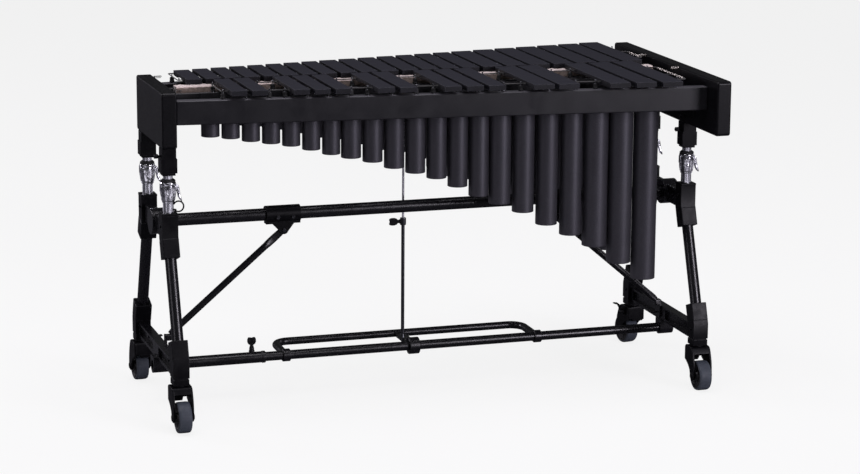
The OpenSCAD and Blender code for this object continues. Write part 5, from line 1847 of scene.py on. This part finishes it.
def world():
    """Soft light: bright to the camera, dim on surfaces and dimmer in reflections."""
    soft = bpy.data.worlds.new("soft_world")
    bpy.context.scene.world = soft
    soft.use_nodes = True
    nodes, links = soft.node_tree.nodes, soft.node_tree.links
    background = nodes["Background"]
    background.inputs[0].default_value = (0.97, 0.98, 1.0, 1)
    path = nodes.new("ShaderNodeLightPath")
    dim = nodes.new("ShaderNodeMapRange")
    dim.inputs["To Min"].default_value = 0.20
    dim.inputs["To Max"].default_value = 0.06
    links.new(path.outputs["Is Glossy Ray"], dim.inputs["Value"])
    seen = nodes.new("ShaderNodeMapRange")
    seen.inputs["To Max"].default_value = 0.93
    links.new(path.outputs["Is Camera Ray"], seen.inputs["Value"])
    links.new(dim.outputs[0], seen.inputs["To Min"])
    links.new(seen.outputs[0], background.inputs[1])


def area(name, location, rotation, size, energy, colour=TONE, specular=1.0):
    """A rectangular light, size by size in metres, hidden from the camera."""
    data = bpy.data.lights.new(name, "AREA")
    data.shape = "RECTANGLE"
    data.size, data.size_y = size
    data.energy, data.color = energy, colour
    data.specular_factor = specular
    light = bpy.data.objects.new(name, data)
    light.location = location
    light.rotation_mode = "QUATERNION"
    light.rotation_quaternion = rotation
    light.visible_camera = False
    bpy.context.scene.collection.objects.link(light)
    return light


def aimed(name, location, target, **settings):
    direction = Vector(target) - Vector(location)
    area(name, location, direction.to_track_quat("-Z", "Y"), **settings)


# strips: (heading in degrees, near end, far end, width in metres, glow)
STRIPS = [(-150, 1.1, 3.6, 0.55, 1.3), (-122, 1.2, 4.4, 0.30, 0.5), (-98, 1.0, 4.0, 0.34, 1.9),
          (-66, 1.0, 4.0, 0.60, 1.5), (-28, 1.2, 3.6, 0.50, 1.0), (12, 1.2, 3.4, 0.60, 1.2),
          (70, 1.0, 3.4, 0.7, 1.2), (128, 1.0, 3.4, 0.7, 1.2)]


def strips():
    """Bright strips on the floor that light only the pieces with bright metal."""
    bright = bpy.data.collections.new("bright_metal")
    metals = {MATS[key] for key in ("chrome", "cast_alloy", "post_steel", "spring",
                                    "damper_alloy")}
    for piece in bpy.context.scene.objects:
        if piece.type == "MESH" and any(mat in metals for mat in piece.data.materials):
            bright.objects.link(piece)
    for k, (heading, near, far, width, glow) in enumerate(STRIPS):
        c, s = math.cos(math.radians(heading)), math.sin(math.radians(heading))
        middle, length = (near + far) / 2, far - near
        facing_up = Matrix(((-s, c, 0), (c, s, 0), (0, 0, -1))).to_quaternion()
        light = area("strip%d" % k, (c * middle, s * middle, 0.01), facing_up,
                     size=(width, length), energy=0.8 * glow * math.pi * width * length)
        light.light_linking.receiver_collection = bright


def lights():
    aimed("key", (3.6, -6.0, 2.0), target=(0.2, 0, 0.55), size=(2.0, 2.6), energy=255)
    aimed("top", (-0.4, -0.6, 4.0), target=(0, 0, 0.6), size=(3.0, 2.2), energy=100,
          colour=(0.99, 0.955, 1.03))
    aimed("side", (-4.6, -1.4, 1.6), target=(-0.4, 0, 0.5), size=(1.2, 2.0), energy=17)
    aimed("back", (-4.6, 4.2, 1.9), target=(0.0, 0, 0.45), size=(2.0, 1.8), energy=90,
          specular=0.45)
    aimed("rim", (4.8, 1.6, 2.4), target=(0.4, 0, 0.6), size=(1.4, 2.0), energy=18)
    strips()


def camera():
    yaw, pitch, roll = [math.radians(angle) for angle in (-17.7717, 12.5311, 0.3689)]
    forward = Vector((-math.sin(yaw) * math.cos(pitch), math.cos(yaw) * math.cos(pitch),
                      -math.sin(pitch)))
    level = Vector((math.cos(yaw), math.sin(yaw), 0))
    up = level.cross(forward)
    c, s = math.cos(roll), math.sin(roll)
    data = bpy.data.cameras.new("camera")
    data.sensor_fit, data.sensor_width = "HORIZONTAL", 36.0
    data.lens = 113.1283256
    data.clip_end = 60
    view = bpy.data.objects.new("camera", data)
    matrix = Matrix((level * c + up * s, up * c - level * s, -forward)).transposed().to_4x4()
    matrix.translation = (-2.0675, -6.5359, 1.9201)
    view.matrix_world = matrix
    bpy.context.scene.collection.objects.link(view)
    bpy.context.scene.camera = view


floor()
world()
lights()
camera()
bpy.context.scene.view_settings.view_transform = "Standard"
bpy.context.scene.view_settings.look = "None"

# CAD nodes that still show without a finish get their own
for node, cad in NODES.items():
    if not cad.hide_render:
        materials = cad.data.materials
        if not materials or materials[0] not in MATS.values():
            keep(node)

with open("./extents.json", "w") as size_file:
    json.dump({"cad": CAD_BOX, "visual": [list(corner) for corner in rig.bounds()]}, size_file)
